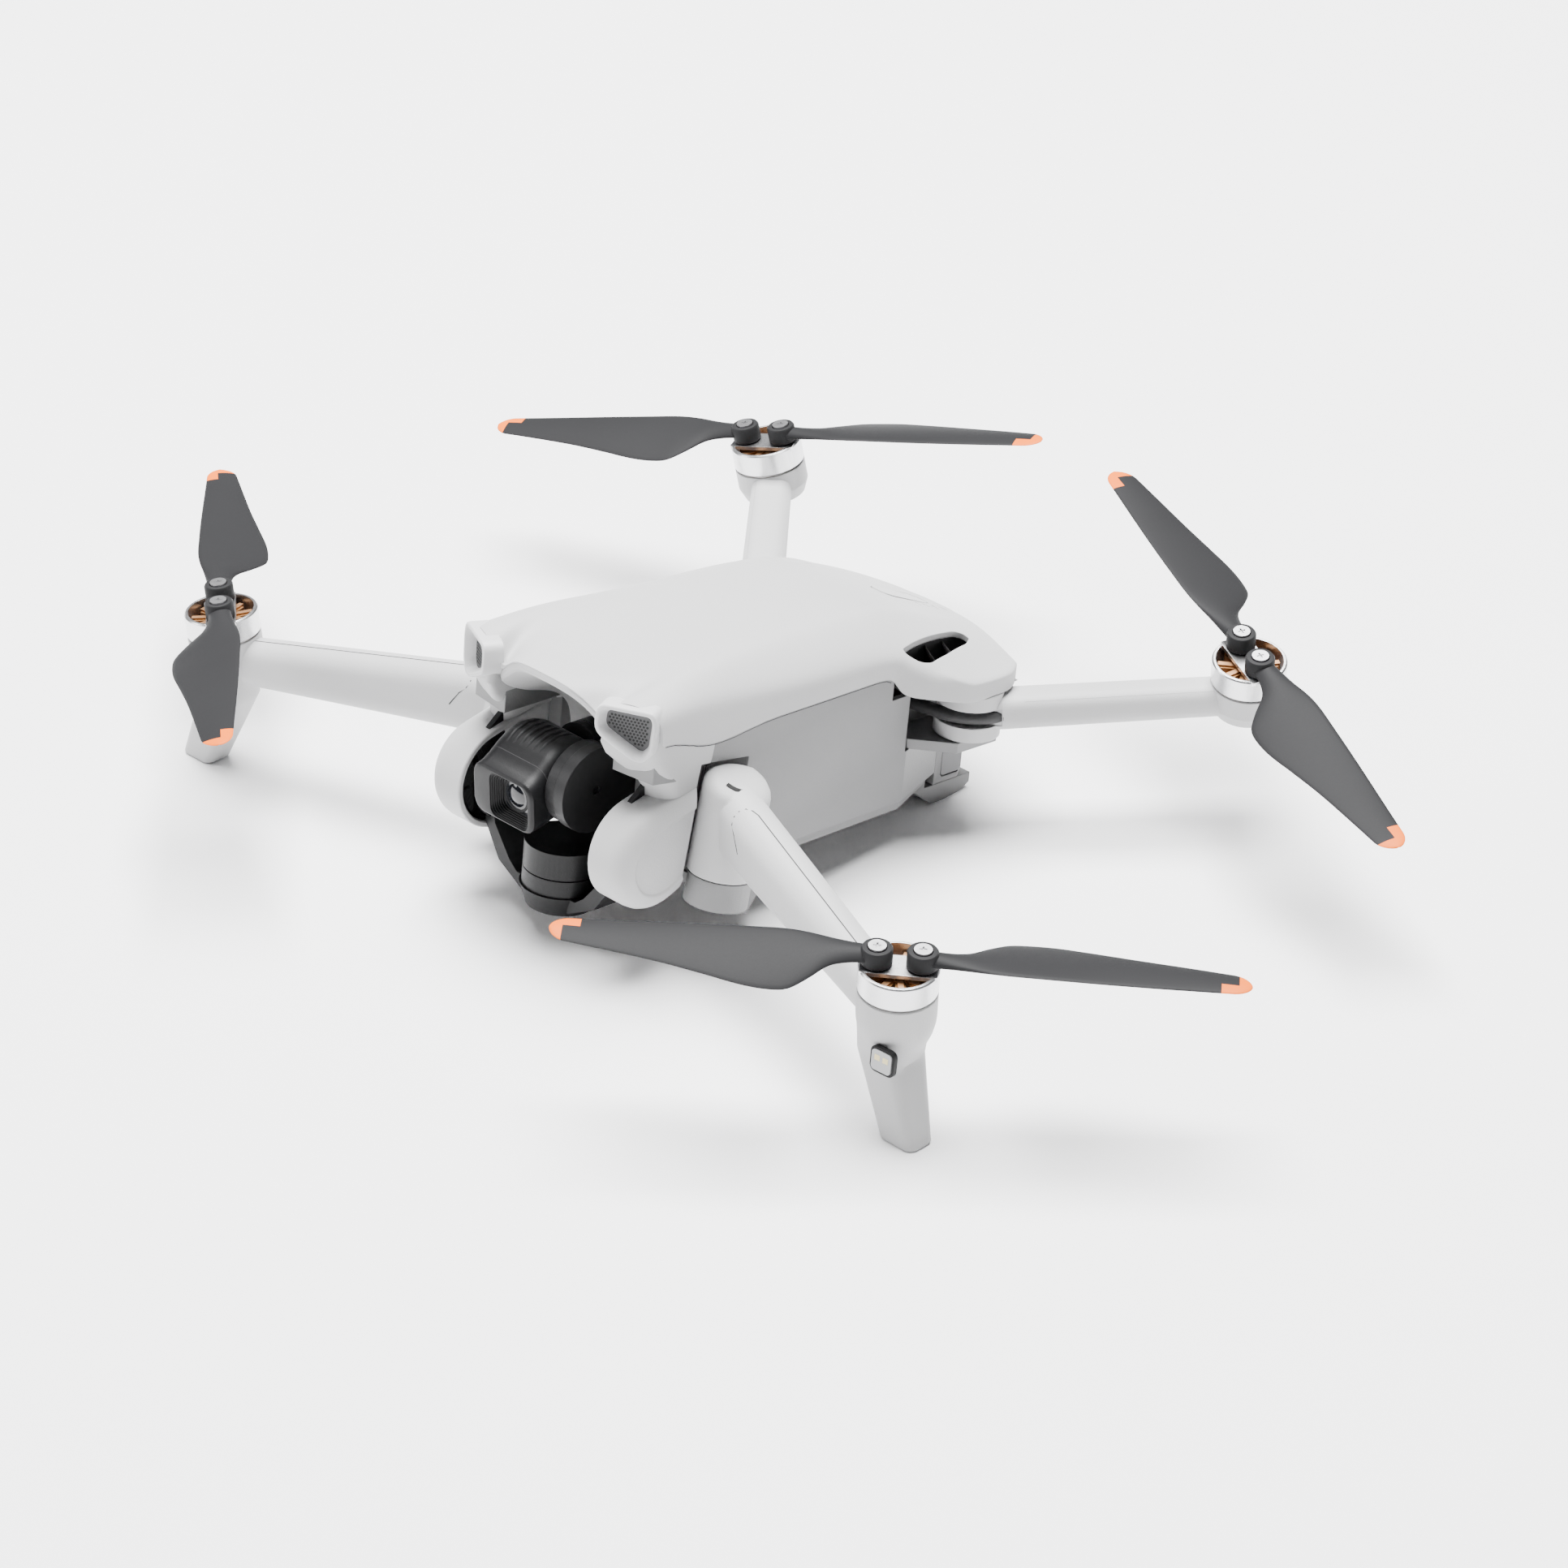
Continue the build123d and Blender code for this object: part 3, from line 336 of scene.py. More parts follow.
def lathe(axes, profile, steps=48, centre=(0, 0)):
    """Points and faces of a profile of (radius, height) turned about the local z axis."""
    points, faces, rings = [], [], []
    for radius, height in profile:
        if radius < 1e-6:
            rings.append([len(points)] * steps)
            points.append(axes.at(centre[0], centre[1], height))
        else:
            rings.append(list(range(len(points), len(points) + steps)))
            points += [axes.at(centre[0] + radius * cos(2 * pi * k / steps),
                               centre[1] + radius * sin(2 * pi * k / steps), height) for k in range(steps)]
    for low, high in zip(rings, rings[1:]):
        for k in range(steps):
            loop = []
            for index in (low[k], low[(k + 1) % steps], high[(k + 1) % steps], high[k]):
                if index not in loop:
                    loop.append(index)
            if len(loop) > 2:
                faces.append(tuple(loop))
    return points, faces


def rings(sections, open_ends=False):
    """Points and faces of closed sections joined one to the next."""
    count = len(sections[0])
    faces = [(r * count + k, r * count + (k + 1) % count, (r + 1) * count + (k + 1) % count, (r + 1) * count + k)
             for r in range(len(sections) - 1) for k in range(count)]
    if not open_ends:
        faces += [tuple(range(count)), tuple(range((len(sections) - 1) * count, len(sections) * count))]
    return [p for s in sections for p in s], faces


def mirrored(shapes):
    return [([Vector((-p.x, p.y, p.z)) for p in shape[0]], *shape[1:]) for shape in shapes]


def gather(name, shapes, body, angle=35, replaces=()):
    """One object out of (points, faces, material) shapes, with smooth shading up to an angle."""
    mats, points, faces, index = [], [], [], []
    for pts, fcs, mat in shapes:
        if mat not in mats:
            mats.append(mat)
        faces += [tuple(k + len(points) for k in face) for face in fcs]
        index += [mats.index(mat)] * len(fcs)
        points += pts
    data = bpy.data.meshes.new(name)
    data.from_pydata(points, [], faces)
    for mat in mats:
        data.materials.append(mat)
    data.polygons.foreach_set("material_index", index)
    tidy = bmesh.new()
    tidy.from_mesh(data)
    bmesh.ops.recalc_face_normals(tidy, faces=tidy.faces)
    for edge in tidy.edges:
        edge.smooth = not edge.is_manifold or edge.calc_face_angle(0) < radians(angle)
    tidy.to_mesh(data)
    tidy.free()
    data.polygons.foreach_set("use_smooth", [True] * len(data.polygons))
    obj = link(bpy.data.objects.new(name, data))
    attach(obj, body)
    if replaces:
        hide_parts(*replaces)
    return obj


def round_rect(x, y, wide, high, radius, steps=6):
    """Corner-rounded rectangle as 2-D points, always the same number of them."""
    out = []
    for k, (sx, sy) in enumerate(((1, 1), (-1, 1), (-1, -1), (1, -1))):
        for n in range(steps + 1):
            a = pi / 2 * (k + n / steps)
            out.append((x + sx * (wide / 2 - radius) + radius * cos(a), y + sy * (high / 2 - radius) + radius * sin(a)))
    return out


FRONT_PIVOT = at(36.0, -45.5, 28.5) * 1000
FRONT_LEAN = radians(8.0)           # the front hinge leans back by this much in the body frame
FRONT_AXIS = at(0, sin(FRONT_LEAN), cos(FRONT_LEAN))
SOCKET_R, SOCKET_LOW, SOCKET_HIGH = 9.3, 6.0 - 28.5, 41.7 - 28.5


def socket():
    """The room for a front arm's knuckle, to be cut out of the cheek and the neck."""
    profile = [(0, SOCKET_LOW), (SOCKET_R, SOCKET_LOW), (SOCKET_R, SOCKET_HIGH), (0, SOCKET_HIGH)]
    return raw("tool", *lathe(Axes(FRONT_PIVOT, FRONT_AXIS * 1000), profile), shell)


def two_sides(name, solid, angle, node=None):
    """A left-hand solid as two pieces of the fuselage, the second one mirrored."""
    faces = [tuple(p.vertices) for p in solid.data.polygons]
    for side, sign in (("left", 1), ("right", -1)):
        points = [Vector((sign * v.co.x, v.co.y, v.co.z)) for v in solid.data.vertices]
        gather(f"{name}_{side}", [(points, faces, shell)], "fuselage", angle=angle,
               replaces=(f"{node}_{side}",) if node else ())
    bpy.data.objects.remove(solid)


def stripe(lines, mat):
    """Narrow open strips: each is a list of (point, point) pairs across the strip."""
    points, faces = [], []
    for line in lines:
        start = len(points)
        for a, b in line:
            points += [a, b]
        faces += [(k, k + 1, k + 3, k + 2) for k in range(start, start + 2 * len(line) - 2, 2)]
    return points, faces, mat


# ---- Upper shell --------------------------------------------------------------------------------

# v, half width, seam height, shoulder height, crest x, crest height, height on the middle line
FORM = (
    (-75, 31.4, 50.8, 57.4, 25.0, 60.9, 59.4),
    (-64, 31.4, 50.6, 57.2, 24.6, 61.9, 59.5),
    (-54, 31.4, 47.1, 57.0, 24.0, 62.1, 59.8),
    (-46, 31.3, 46.4, 56.4, 23.4, 61.9, 60.2),
    (-33, 31.3, 48.3, 55.4, 21.5, 61.3, 60.6),
    (-20, 31.3, 48.1, 54.6, 20.0, 60.9, 60.7),
    (8, 31.3, 48.1, 53.5, 19.0, 59.9, 60.2),
    (11.0, 31.4, 48.0, 53.2, 19.0, 59.6, 60.0),
    (12.2, 32.2, 43.0, 52.5, 19.0, 59.3, 59.8),
    (18, 36.6, 42.4, 49.4, 18.5, 58.2, 58.9),
    (25.5, 42.6, 41.6, 46.0, 18.0, 56.4, 57.0),
    (40, 42.6, 41.6, 45.2, 18.0, 50.7, 51.0),
    (53, 33.6, 41.6, 44.0, 16.0, 45.7, 46.0),
    (58, 13.0, 41.6, 43.2, 9.0, 43.8, 44.0),
)
# x, v, w of the front edge, and v of the rear edge, from the middle line to the seam
FRONT_EDGE = ((0, -73.7, 59.6), (8, -73.3, 59.3), (13, -70.8, 56.2), (16.6, -69.8, 53.0), (17.8, -71.6, 58.4),
              (24.6, -69.0, 60.1), (30.6, -66.4, 58.5), (31.9, -65.6, 54.6), (31.4, -64.8, 50.4))
REAR_EDGE = (58.3, 58.3, 58.2, 58.0, 57.2, 55.0, 47.0, 44.0, 44.0)
SIDE_STATIONS = (-64.8, -63.6, -61.0, -57.0, -52.0, -46.0, -39.0, -31.0, -20.0, -5.0, 6.0, 10.9, 12.3, 18.0, 24.5,
                 26.5, 33.0, 39.0, 42.0, 44.0)
FADE = (1.0, 0.94, 0.72, 0.4, 0.15, 0.03)       # how much the first rows keep the front edge's form


def shell_point(column, v):
    """A control point of the back: column 0 on the middle line, 8 at the seam."""
    half, seam, shoulder, crest_x, crest, centre = [between(FORM, v, k) for k in range(1, 7)]
    rise = crest - centre
    return Vector((
        (0, v, centre),
        (0.4 * crest_x, v, centre + 0.08 * rise),
        (0.66 * crest_x, v, centre + 0.4 * rise),
        (0.84 * crest_x, v, centre + 0.85 * rise),
        (crest_x, v, crest + 0.2),
        (crest_x + 0.5 * (half - crest_x), v, 0.58 * crest + 0.42 * shoulder + 0.2),
        (half - 0.3, v, shoulder + 0.2),
        (half + 0.05, v, 0.45 * shoulder + 0.55 * seam),
        (half, v, seam),
    )[column])


rows = []
FIRST, LAST = SIDE_STATIONS[0], SIDE_STATIONS[-1]
for n, side_v in enumerate(SIDE_STATIONS):
    t = (side_v - FIRST) / (LAST - FIRST)
    fade = FADE[n] if n < len(FADE) else 0.0
    row = []
    for c in range(9):
        v = FRONT_EDGE[c][1] + t * (REAR_EDGE[c] - FRONT_EDGE[c][1])
        front = Vector(FRONT_EDGE[c]) + Vector((0, v - FRONT_EDGE[c][1], 0.1 * (v - FRONT_EDGE[c][1])))
        row.append(at(*shell_point(c, v).lerp(front, fade)))
    rows.append(both(row))
rim = [shell_point(c, REAR_EDGE[c]) for c in range(9)]
rows.append(both([at(p.x, p.y, min(p.z, 41.6)) for p in rim]))


def shell_crease(a, b):
    """Sharpness of the shell's edges: the rear rim and the overhang's shoulder."""
    (row, c), (other, d) = a, b
    if row == other:
        return 0.7 if row >= len(rows) - 2 or row == 0 else 0.0
    return 0.75 if min(row, other) > 12 and c == d and abs(c - 8) == 6 else 0.0


shell_skin = net("shell_skin", rows, shell, thick=1.3, crease=shell_crease)
skin = [v.co.copy() for v in shell_skin.data.vertices]
VENT = ((29.6, 14.5), (28.5, 19.0), (26.3, 28.7), (24.0, 38.5), (24.5, 41.0), (26.5, 41.5), (29.2, 37.4),
        (32.8, 26.5), (34.2, 20.0), (33.2, 17.0), (30.8, 14.6))     # x and v, seen from above
VENT_MIDDLE = Vector((29.6, 27.5))
skin_tree = BVHTree.FromPolygons(skin, [tuple(f.vertices) for f in shell_skin.data.polygons])
DOWN = at(0, 0, -1).normalized()


def on_skin(x, v, depth):
    """The point at a depth straight under the shell's outer face."""
    hits = [skin_tree.ray_cast(at(x + aside, v + aside / 2, 80), DOWN)[0] for aside in (0.0, 0.05, -0.05)]
    return next(hit for hit in hits if hit) + DOWN * depth / 1000


def vent_ring(depth, scale=1.0, sign=1):
    """The vent's outline at a depth under the sloping shoulder."""
    return [on_skin(sign * p[0], p[1], depth)
            for p in (VENT_MIDDLE + (q - VENT_MIDDLE) * scale for q in arced(VENT, 1.2, steps=3))]


# Openings: both vents, the power button's and a slot for each status light
SLOPE = atan2(10.2, 25.0)           # the fall of the rear deck over its length
deck = Axes(at(0, 45.0, 53.4 - 11.0 * tan(SLOPE)) * 1000, at(0, sin(SLOPE), cos(SLOPE)) * 1000)
cuts = [prism("tool", vent_ring(4.0), at(0, 0, 9), shell),
        prism("tool", vent_ring(4.0, sign=-1), at(0, 0, 9), shell),
        prism("tool", [deck.at(x, y, -4) for x, y in round_rect(0, 0, 7.6, 17.6, 3.0)], deck.z * 0.008, shell)]
for n in range(4):
    lamp = round_rect(6.3, 10.2 - 3.4 * n, 2.2, 0.7, 0.1)
    cuts.append(prism("tool", [deck.at(x, y, -4) for x, y in lamp], deck.z * 0.008, shell))
cut(shell_skin, *cuts, whole=False)
shell_skin.data.set_sharp_from_angle(angle=radians(40))
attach(shell_skin, "fuselage")
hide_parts("upper_shell")


def quad(a, b, c, d):
    """Points and faces of a half-millimetre plate between two edges, a to b and c to d."""
    corners = [a, b, d, c]
    return rings([corners, [p + Vector((0, 0, -0.0005)) for p in corners]])


# Vents: a dark well under each opening, with two slanting vanes
well = [(*rings([vent_ring(1.25, 1.04), vent_ring(7.0, 0.98), vent_ring(7.1, 0.1)], open_ends=True), dark)]
for (x0, v0), (x1, v1) in (((26.4, 25.2), (33.0, 23.6)), ((24.6, 33.4), (30.8, 31.6))):
    edge = [on_skin(x, v, 2.0) for x, v in ((x0, v0), (x1, v1))]
    foot = [on_skin(x, v + 3.2, 6.5) for x, v in ((x0, v0), (x1, v1))]
    well.append((*quad(*edge, *foot), vane_plastic))
gather("vent_wells", well + mirrored(well), "fuselage", replaces=("vent_louvres",))

# ---- Thin lines ----------------------------------------------------------------------------------


def body_coordinates(p):
    """The body frame's x, v and w of a point in metres."""
    return Vector((p.x, p.y * cos(PITCH) - p.z * sin(PITCH), p.y * sin(PITCH) + p.z * cos(PITCH))) * 1000


def line(points, normals, width=0.22, lift=0.03):
    """A narrow dark strip along points that lie on a surface with these normals."""
    pairs = []
    for k, (p, n) in enumerate(zip(points, normals)):
        run = points[min(k + 1, len(points) - 1)] - points[max(k - 1, 0)]
        side = run.cross(n).normalized() * (width / 2000)
        pairs.append((p + n.normalized() * (lift / 1000) + side, p + n.normalized() * (lift / 1000) - side))
    return pairs


# Painted shadow line along the seam under the shell's sides, found from the lowest points of the skin
low_edge = []
for k in range(50):
    v = -64.0 + 1.5 * k
    near = [q for q in map(body_coordinates, skin) if q.x > 29 and abs(q.y - v) < 1.1]
    lowest = min(near, key=lambda q: q.z)
    low_edge.append(lowest + Vector((0.1, v - lowest.y, -0.05)))
seam_shadows = stripe([line([at(*q) for q in low_edge], [Vector((1, 0, 0))] * len(low_edge), lift=0.0)], seam_line_and_shadow)

# ---- Eyes ---------------------------------------------------------------------------------------


def inset(outline, gap):
    """A clockwise outline of 2-D points moved inwards by a gap."""
    out = []
    for k, corner in enumerate(outline):
        here = Vector(corner)
        a = (here - Vector(outline[k - 1])).normalized()
        b = (Vector(outline[(k + 1) % len(outline)]) - here).normalized()
        out.append(here + Vector((a.y + b.y, -a.x - b.x)) * gap / (1 + a.dot(b)))
    return out


# The eye's outline in its own plane, clockwise from its inner top corner
EYE = ((-7.3, 5.2), (6.7, 5.5), (7.5, 2.0), (7.0, -4.6), (4.8, -7.2), (2.2, -7.2), (-7.7, -2.0))
TURN = radians(25.0)
eye = Axes(at(25.2, -70.9, 54.0) * 1000, at(sin(TURN), -cos(TURN), 0), at(cos(TURN), sin(TURN), 0))


def eye_ring(gap, depth, radius=2.8):
    return [eye.at(p[0], p[1], depth) for p in arced(inset(EYE, gap), max(0.6, radius - 0.6 * gap), steps=6)]


# Gap inside the outline and depth of each step of the bezel, and the gap to the grille
BEZEL = ((0.0, -5.0), (0.0, -0.9), (0.12, -0.3), (0.4, -0.05), (0.65, 0.0), (0.95, -0.1), (1.15, -0.4), (2.1, -2.7))
GRILLE = 2.0
HOLE_R = 0.3
grille = [eye_ring(GRILLE, -2.55), eye_ring(GRILLE, -3.6)]
holes = []
field = inset(EYE, GRILLE + 0.75)
for row in range(16):
    for column in range(18):
        x, y = -6.4 + 0.86 * column + 0.43 * (row % 2), -6.0 + 0.74 * row
        if all((b - a).cross(Vector((x, y)) - a) < 0 for a, b in zip(field, field[1:] + field[:1])):
            disc = [eye.at(x + HOLE_R * cos(pi * n / 4), y + HOLE_R * sin(pi * n / 4), -2.5) for n in range(8)]
            holes.append((disc, [tuple(range(8))], hole_black))
eyes = [(*rings([eye_ring(*step) for step in BEZEL], open_ends=True), bezel), (*rings(grille), grille_dark), *holes]
gather("eye_frames", eyes + mirrored(eyes), "fuselage", angle=30,
       replaces=("eye_bezels", "sensor_grilles"))
# The painted shadow line under the shell's side rims, on both sides
gather("shell_seam_shadows", [seam_shadows, *mirrored([seam_shadows])], "fuselage")

# Forehead: from the lip of the shell down into the gimbal's bay
FOREHEAD = (
    ((0, -73.6, 59.2), (8, -73.2, 58.9), (13, -70.7, 55.9), (16.9, -69.6, 52.6)),
    ((0, -73.5, 57.9), (8, -73.1, 57.5), (13, -70.5, 54.5), (17.2, -69.4, 51.0)),
    ((0, -72.4, 57.0), (8, -71.9, 56.6), (13, -69.6, 53.4), (17.4, -68.8, 49.6)),
    ((0, -67.0, 54.4), (8, -66.6, 53.8), (13, -66.0, 51.6), (17.6, -66.6, 47.5)),
    ((0, -59.0, 50.6), (8, -58.8, 50.0), (13, -58.8, 48.4), (17.8, -60.0, 44.5)),
    ((0, -50.6, 46.6), (8, -50.6, 46.2), (14, -51.2, 45.2), (18.6, -52.6, 42.5)),
    ((0, -45.6, 41.0), (8, -45.6, 40.8), (15, -46.0, 40.0), (20.0, -47.0, 38.5)),
    ((0, -44.2, 33.0), (8, -44.2, 33.0), (16, -44.3, 33.0), (21.0, -44.6, 33.0)),
    ((0, -44.0, 14.5), (8, -44.0, 14.5), (16, -44.0, 14.5), (20.0, -44.0, 14.5)),
)
forehead = net("forehead", [both([at(*p) for p in row]) for row in FOREHEAD], shell, thick=0.6,
               crease=lambda a, b: 0.6 if a[0] == b[0] and a[0] in (1, 2) else 0.0)
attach(forehead, "fuselage")

# Necks between the eyes and the cheeks: w, inner x, outer x, front v, outer corner's v, corner radius
NECK = (
    (29.0, 22.2, 30.0, -61.0, -59.0, 5.0),
    (34.0, 22.0, 30.4, -62.8, -60.4, 5.0),
    (37.5, 21.6, 30.9, -63.2, -60.8, 4.8),
    (40.3, 20.4, 31.1, -64.9, -62.0, 4.4),
    (43.2, 18.9, 31.2, -68.2, -63.8, 3.6),
    (46.0, 18.0, 31.2, -71.0, -65.0, 3.0),
    (49.0, 17.8, 31.2, -72.4, -65.4, 2.6),
    (51.5, 17.9, 31.2, -71.8, -65.6, 2.6),
    (54.0, 18.4, 30.8, -71.0, -65.8, 2.6),
)
NECK_BACK = -46.0
sections = []
for w, inner, outer, front, corner, radius in NECK:
    outline = [(inner, NECK_BACK), (inner, front), (outer, corner), (outer, NECK_BACK)]
    sections.append([at(x, v, w) for x, v in arced(outline, radius, steps=8)])
solid = raw("neck", *rings(sections), shell)
cut(solid, socket(), prism("tool", eye_ring(1.0, -3.7), eye.z * 0.012, shell))
two_sides("neck", solid, 30)

# ---- Blades -------------------------------------------------------------------------------------

# Distance from the screw, chord, leading-edge offset, pitch in degrees, thickness
BLADE = (
    (2.0, 5.4, 2.7, 4.0, 2.4), (6.0, 6.2, 3.2, 8.0, 2.0), (10.0, 8.2, 3.8, 11.0, 1.7), (14.0, 12.8, 4.6, 13.0, 1.5),
    (18.0, 16.4, 5.1, 14.0, 1.4), (22.0, 17.2, 5.2, 13.8, 1.3), (28.0, 16.6, 5.0, 12.6, 1.2),
    (36.0, 14.6, 4.7, 10.8, 1.1), (46.0, 12.0, 4.2, 8.6, 1.0), (58.0, 9.3, 3.5, 6.2, 0.9), (70.65, 6.6, 2.8, 4.0, 0.7),
)
SCREW_ARM = 4.95                    # from the rotor's axis to a blade's screw
STATIONS = [2.0 + 1.0 * k for k in range(66)] + [67.8, 68.6, 69.3, 69.9, 70.3, 70.55, 70.65]
ROUND_FROM, ROUND_LENGTH, BLUNT = 66.6, 4.05, 0.1       # where the tip's rounding starts, its length and its least size
TIP_FROM = 67.8                     # the orange paint covers the whole blade from here
EDGE_PAINT_FROM, EDGE_PAINT_SHARE = 63.6, 0.4           # and runs along the front of the blade from here
HALF_STEPS = 12                     # steps along one face of a blade's section
BOSS = ((1.3, -4.75), (3.1, -4.75), (3.5, -4.4), (3.5, -0.9), (3.2, -0.45), (2.9, -0.38), (2.3, -0.38),
        (2.15, -0.5), (2.15, -1.3), (1.3, -1.3), (1.3, -4.75))
orange = material("tip_orange", (0.80, 0.15, 0.004), 0.5, grain=0.12, wear=0.01, sheen=0.15)


def smooth_between(table, v, column):
    """A table's column read at v on a smooth curve through its rows."""
    k = max(0, min(len(table) - 2, sum(1 for row in table[1:-1] if row[0] <= v)))
    a, b = table[k], table[k + 1]
    before, after = table[max(0, k - 1)], table[min(len(table) - 1, k + 2)]
    t = (v - a[0]) / (b[0] - a[0])
    span = b[0] - a[0]
    slope_a = (b[column] - before[column]) / (b[0] - before[0]) * span
    slope_b = (after[column] - a[column]) / (after[0] - a[0]) * span
    return ((2 * t ** 3 - 3 * t * t + 1) * a[column] + (t ** 3 - 2 * t * t + t) * slope_a
            + (3 * t * t - 2 * t ** 3) * b[column] + (t ** 3 - t * t) * slope_b)


def blade_shapes(axes, direction, lead):
    """A folding blade's boss and vane in the rotor frame."""
    facing = Axes(axes.origin, axes.z, axes.x, radians(direction))
    sections = []
    for d in STATIONS:
        chord, leading, pitch, thick = [smooth_between(BLADE, d, k) for k in (1, 2, 3, 4)]
        end = max(0.0, (d - ROUND_FROM) / ROUND_LENGTH)
        shrink = max(BLUNT, sqrt(max(0.0, 1 - end * end)))
        c, s = cos(radians(pitch)), sin(radians(pitch))
        loop = []
        for k in range(2 * HALF_STEPS):
            upper = k < HALF_STEPS
            along = (1 - cos(pi * (k if upper else 2 * HALF_STEPS - k) / HALF_STEPS)) / 2
            mid = leading - 0.45 * chord
            across = mid + (leading - along * chord - mid) * shrink
            camber = 0.22 * thick * sin(pi * along)
            half = thick * 0.5 * sqrt(max(0.0, sin(pi * along ** 0.8))) * shrink
            height = camber + (half if upper else -half)
            loop.append(facing.at(SCREW_ARM + d, lead * (across * c - height * s), -2.7 + across * s + height * c))
        sections.append(loop)
    points, faces = rings(sections)
    vane, tips = [], []
    for face in faces[:-2]:
        row, k = face[0] // (2 * HALF_STEPS), min(face) % (2 * HALF_STEPS)
        d, along = STATIONS[row], min(k, 2 * HALF_STEPS - k) / HALF_STEPS
        painted = d >= TIP_FROM or (d >= EDGE_PAINT_FROM and along < EDGE_PAINT_SHARE)
        (tips if painted else vane).append(face)
    vane += [faces[-2]]
    tips += [faces[-1]]
    boss = lathe(facing, BOSS, centre=(SCREW_ARM, 0))
    return [(points, vane, blade), (points, tips, orange), (*boss, blade)]


ROTORS = {"front": (Axes((113.4, -66.8, 46.0), (0.088, -0.036, 1.0), turn=radians(39.4)), -1),
          "rear": (Axes((81.3, 85.1, 48.3), (0.128, -0.116, 1.0), turn=radians(-22.9)), 1)}
for where, (axes, lead) in ROTORS.items():
    for letter, direction in (("a", 0), ("b", 180)):
        shapes = blade_shapes(axes, direction, lead)
        for side, form in (("left", shapes), ("right", mirrored(shapes))):
            name = f"blade_{where}_{letter}_{side}"
            gather(f"vane_{where}_{letter}_{side}", form, name, replaces=(name,))

# ---- Camera -------------------------------------------------------------------------------------


def in_front(v, outline):
    """A 2-D outline of (x, w) points stood up at station v."""
    return [at(x, v, w) for x, w in outline]


LEVEL = Matrix.Rotation(PITCH, 4, "X")
TILT_AXIS = at(0, -66.0, 33.0)


def levelled(shape):
    """The camera's own shapes, turned level with the horizon about the tilt axis."""
    return ([TILT_AXIS + LEVEL @ (p - TILT_AXIS) for p in shape[0]], *shape[1:])


CAMERA = (  # v, lowest w, highest w, corner radius, narrowing of each side
    (-57.6, 29.0, 36.5, 3.0, 2.2), (-58.3, 27.4, 38.2, 3.6, 1.0), (-60.0, 25.8, 39.8, 4.0, 0.3),
    (-62.5, 24.8, 41.0, 4.2, 0.0), (-66.0, 24.4, 41.6, 4.2, 0.0), (-69.5, 24.0, 41.0, 4.2, 0.0),
    (-72.5, 23.5, 39.4, 4.1, 0.0), (-75.0, 23.1, 37.6, 4.0, 0.0), (-77.2, 22.9, 36.4, 3.8, 0.0),
    (-78.9, 22.9, 35.9, 3.6, 0.0),
    (-79.3, 23.25, 35.55, 3.3, 0.35),
)
sections = [in_front(v, round_rect(-4, (low + high) / 2, 20 - 2 * side, high - low, radius))
            for v, low, high, radius, side in CAMERA]
# The hood: a square opening that goes in by steps towards the lens
LENS = (-1.9, 29.3)
HOOD_FACE, HOOD_STEP, HOOD_SHRINK = -79.45, 0.42, 0.52
sections.append(in_front(HOOD_FACE, round_rect(-4, 29.4, 18.6, 11.6, 3.0)))
size = 11.4
for k in range(7):
    sections.append(in_front(HOOD_FACE + HOOD_STEP * k, round_rect(*LENS, size + 1.3, size, 2.2)))
    sections.append(in_front(HOOD_FACE + HOOD_STEP * (k + 1), round_rect(*LENS, size + 1.24, size - 0.06, 2.2)))
    size -= HOOD_SHRINK
sections.append(in_front(-76.4, round_rect(*LENS, size + 0.8, size, 1.8)))
sections.append(in_front(-75.5, round_rect(*LENS, size + 0.8, size, 1.8)))
nose = Axes(at(-2.6, -75.6, 29.5) * 1000, at(0, -1, 0))
DOME = ((4.4, -0.6), (4.4, 0.5), (4.1, 0.9), (3.5, 0.9), (3.3, 0.6), (3.1, 0.6))
EYEBALL = ((3.15, 0.55), (2.6, 1.0), (1.8, 1.35), (0.9, 1.55), (0.0, 1.6))
gather("lens_dome", [levelled((*lathe(nose, DOME), dark)), levelled((*lathe(nose, EYEBALL), lens))], "gimbal_tilt")
gather("camera_case", [levelled((*rings(sections), gimbal))], "gimbal_tilt", angle=28,
       replaces=("camera_body", "camera_hood"))


def camera_top(v):
    """Height of the camera's top at station v."""
    return between([(a[0], a[2]) for a in reversed(CAMERA)], v)


# Heat-sink ribs on the camera's top: six low ridges, each starting a little further back than the last
RIB_HEIGHT, RIB_PITCH, RIB_STEPS = 0.42, 1.95, 12
ribs = []
for k in range(6):
    x = -9.6 + RIB_PITCH * k
    shape = []
    for n in range(RIB_STEPS + 1):
        v = -72.6 + 0.85 * n + 0.25 * k
        lift = RIB_HEIGHT * sqrt(max(0.0, 1 - (2 * n / RIB_STEPS - 1) ** 2)) + 0.02
        top = camera_top(v)
        shape.append([at(x - 0.5, v, top - 0.3), at(x - 0.32, v, top + lift), at(x + 0.1, v, top + lift * 0.9),
                      at(x + 0.5, v, top - 0.3)])
    ribs.append((*rings(shape), gimbal))
gather("heat_sink_ribs", [levelled(r) for r in ribs], "gimbal_tilt", angle=50)

# The joint line round the camera's case
SPLIT_V, SPLIT_WIDTH = -74.3, 0.12
underside = between([(a[0], a[1]) for a in reversed(CAMERA)], SPLIT_V)


def camera_hoop(v):
    """The camera's outline at station v, a hair outside its skin."""
    top = camera_top(v)
    return in_front(v, round_rect(-4, (underside + top) / 2, 20.05, top - underside + 0.05, 4.0))


pairs = list(zip(camera_hoop(SPLIT_V), camera_hoop(SPLIT_V + SPLIT_WIDTH)))
split = [pairs + pairs[:1]]
gather("camera_split", [levelled(stripe(split, seam_line_and_shadow))], "gimbal_tilt")

# ---- Cheeks -------------------------------------------------------------------------------------


CHEEK_STEPS = 28
CHEEK_BACK = -44.0


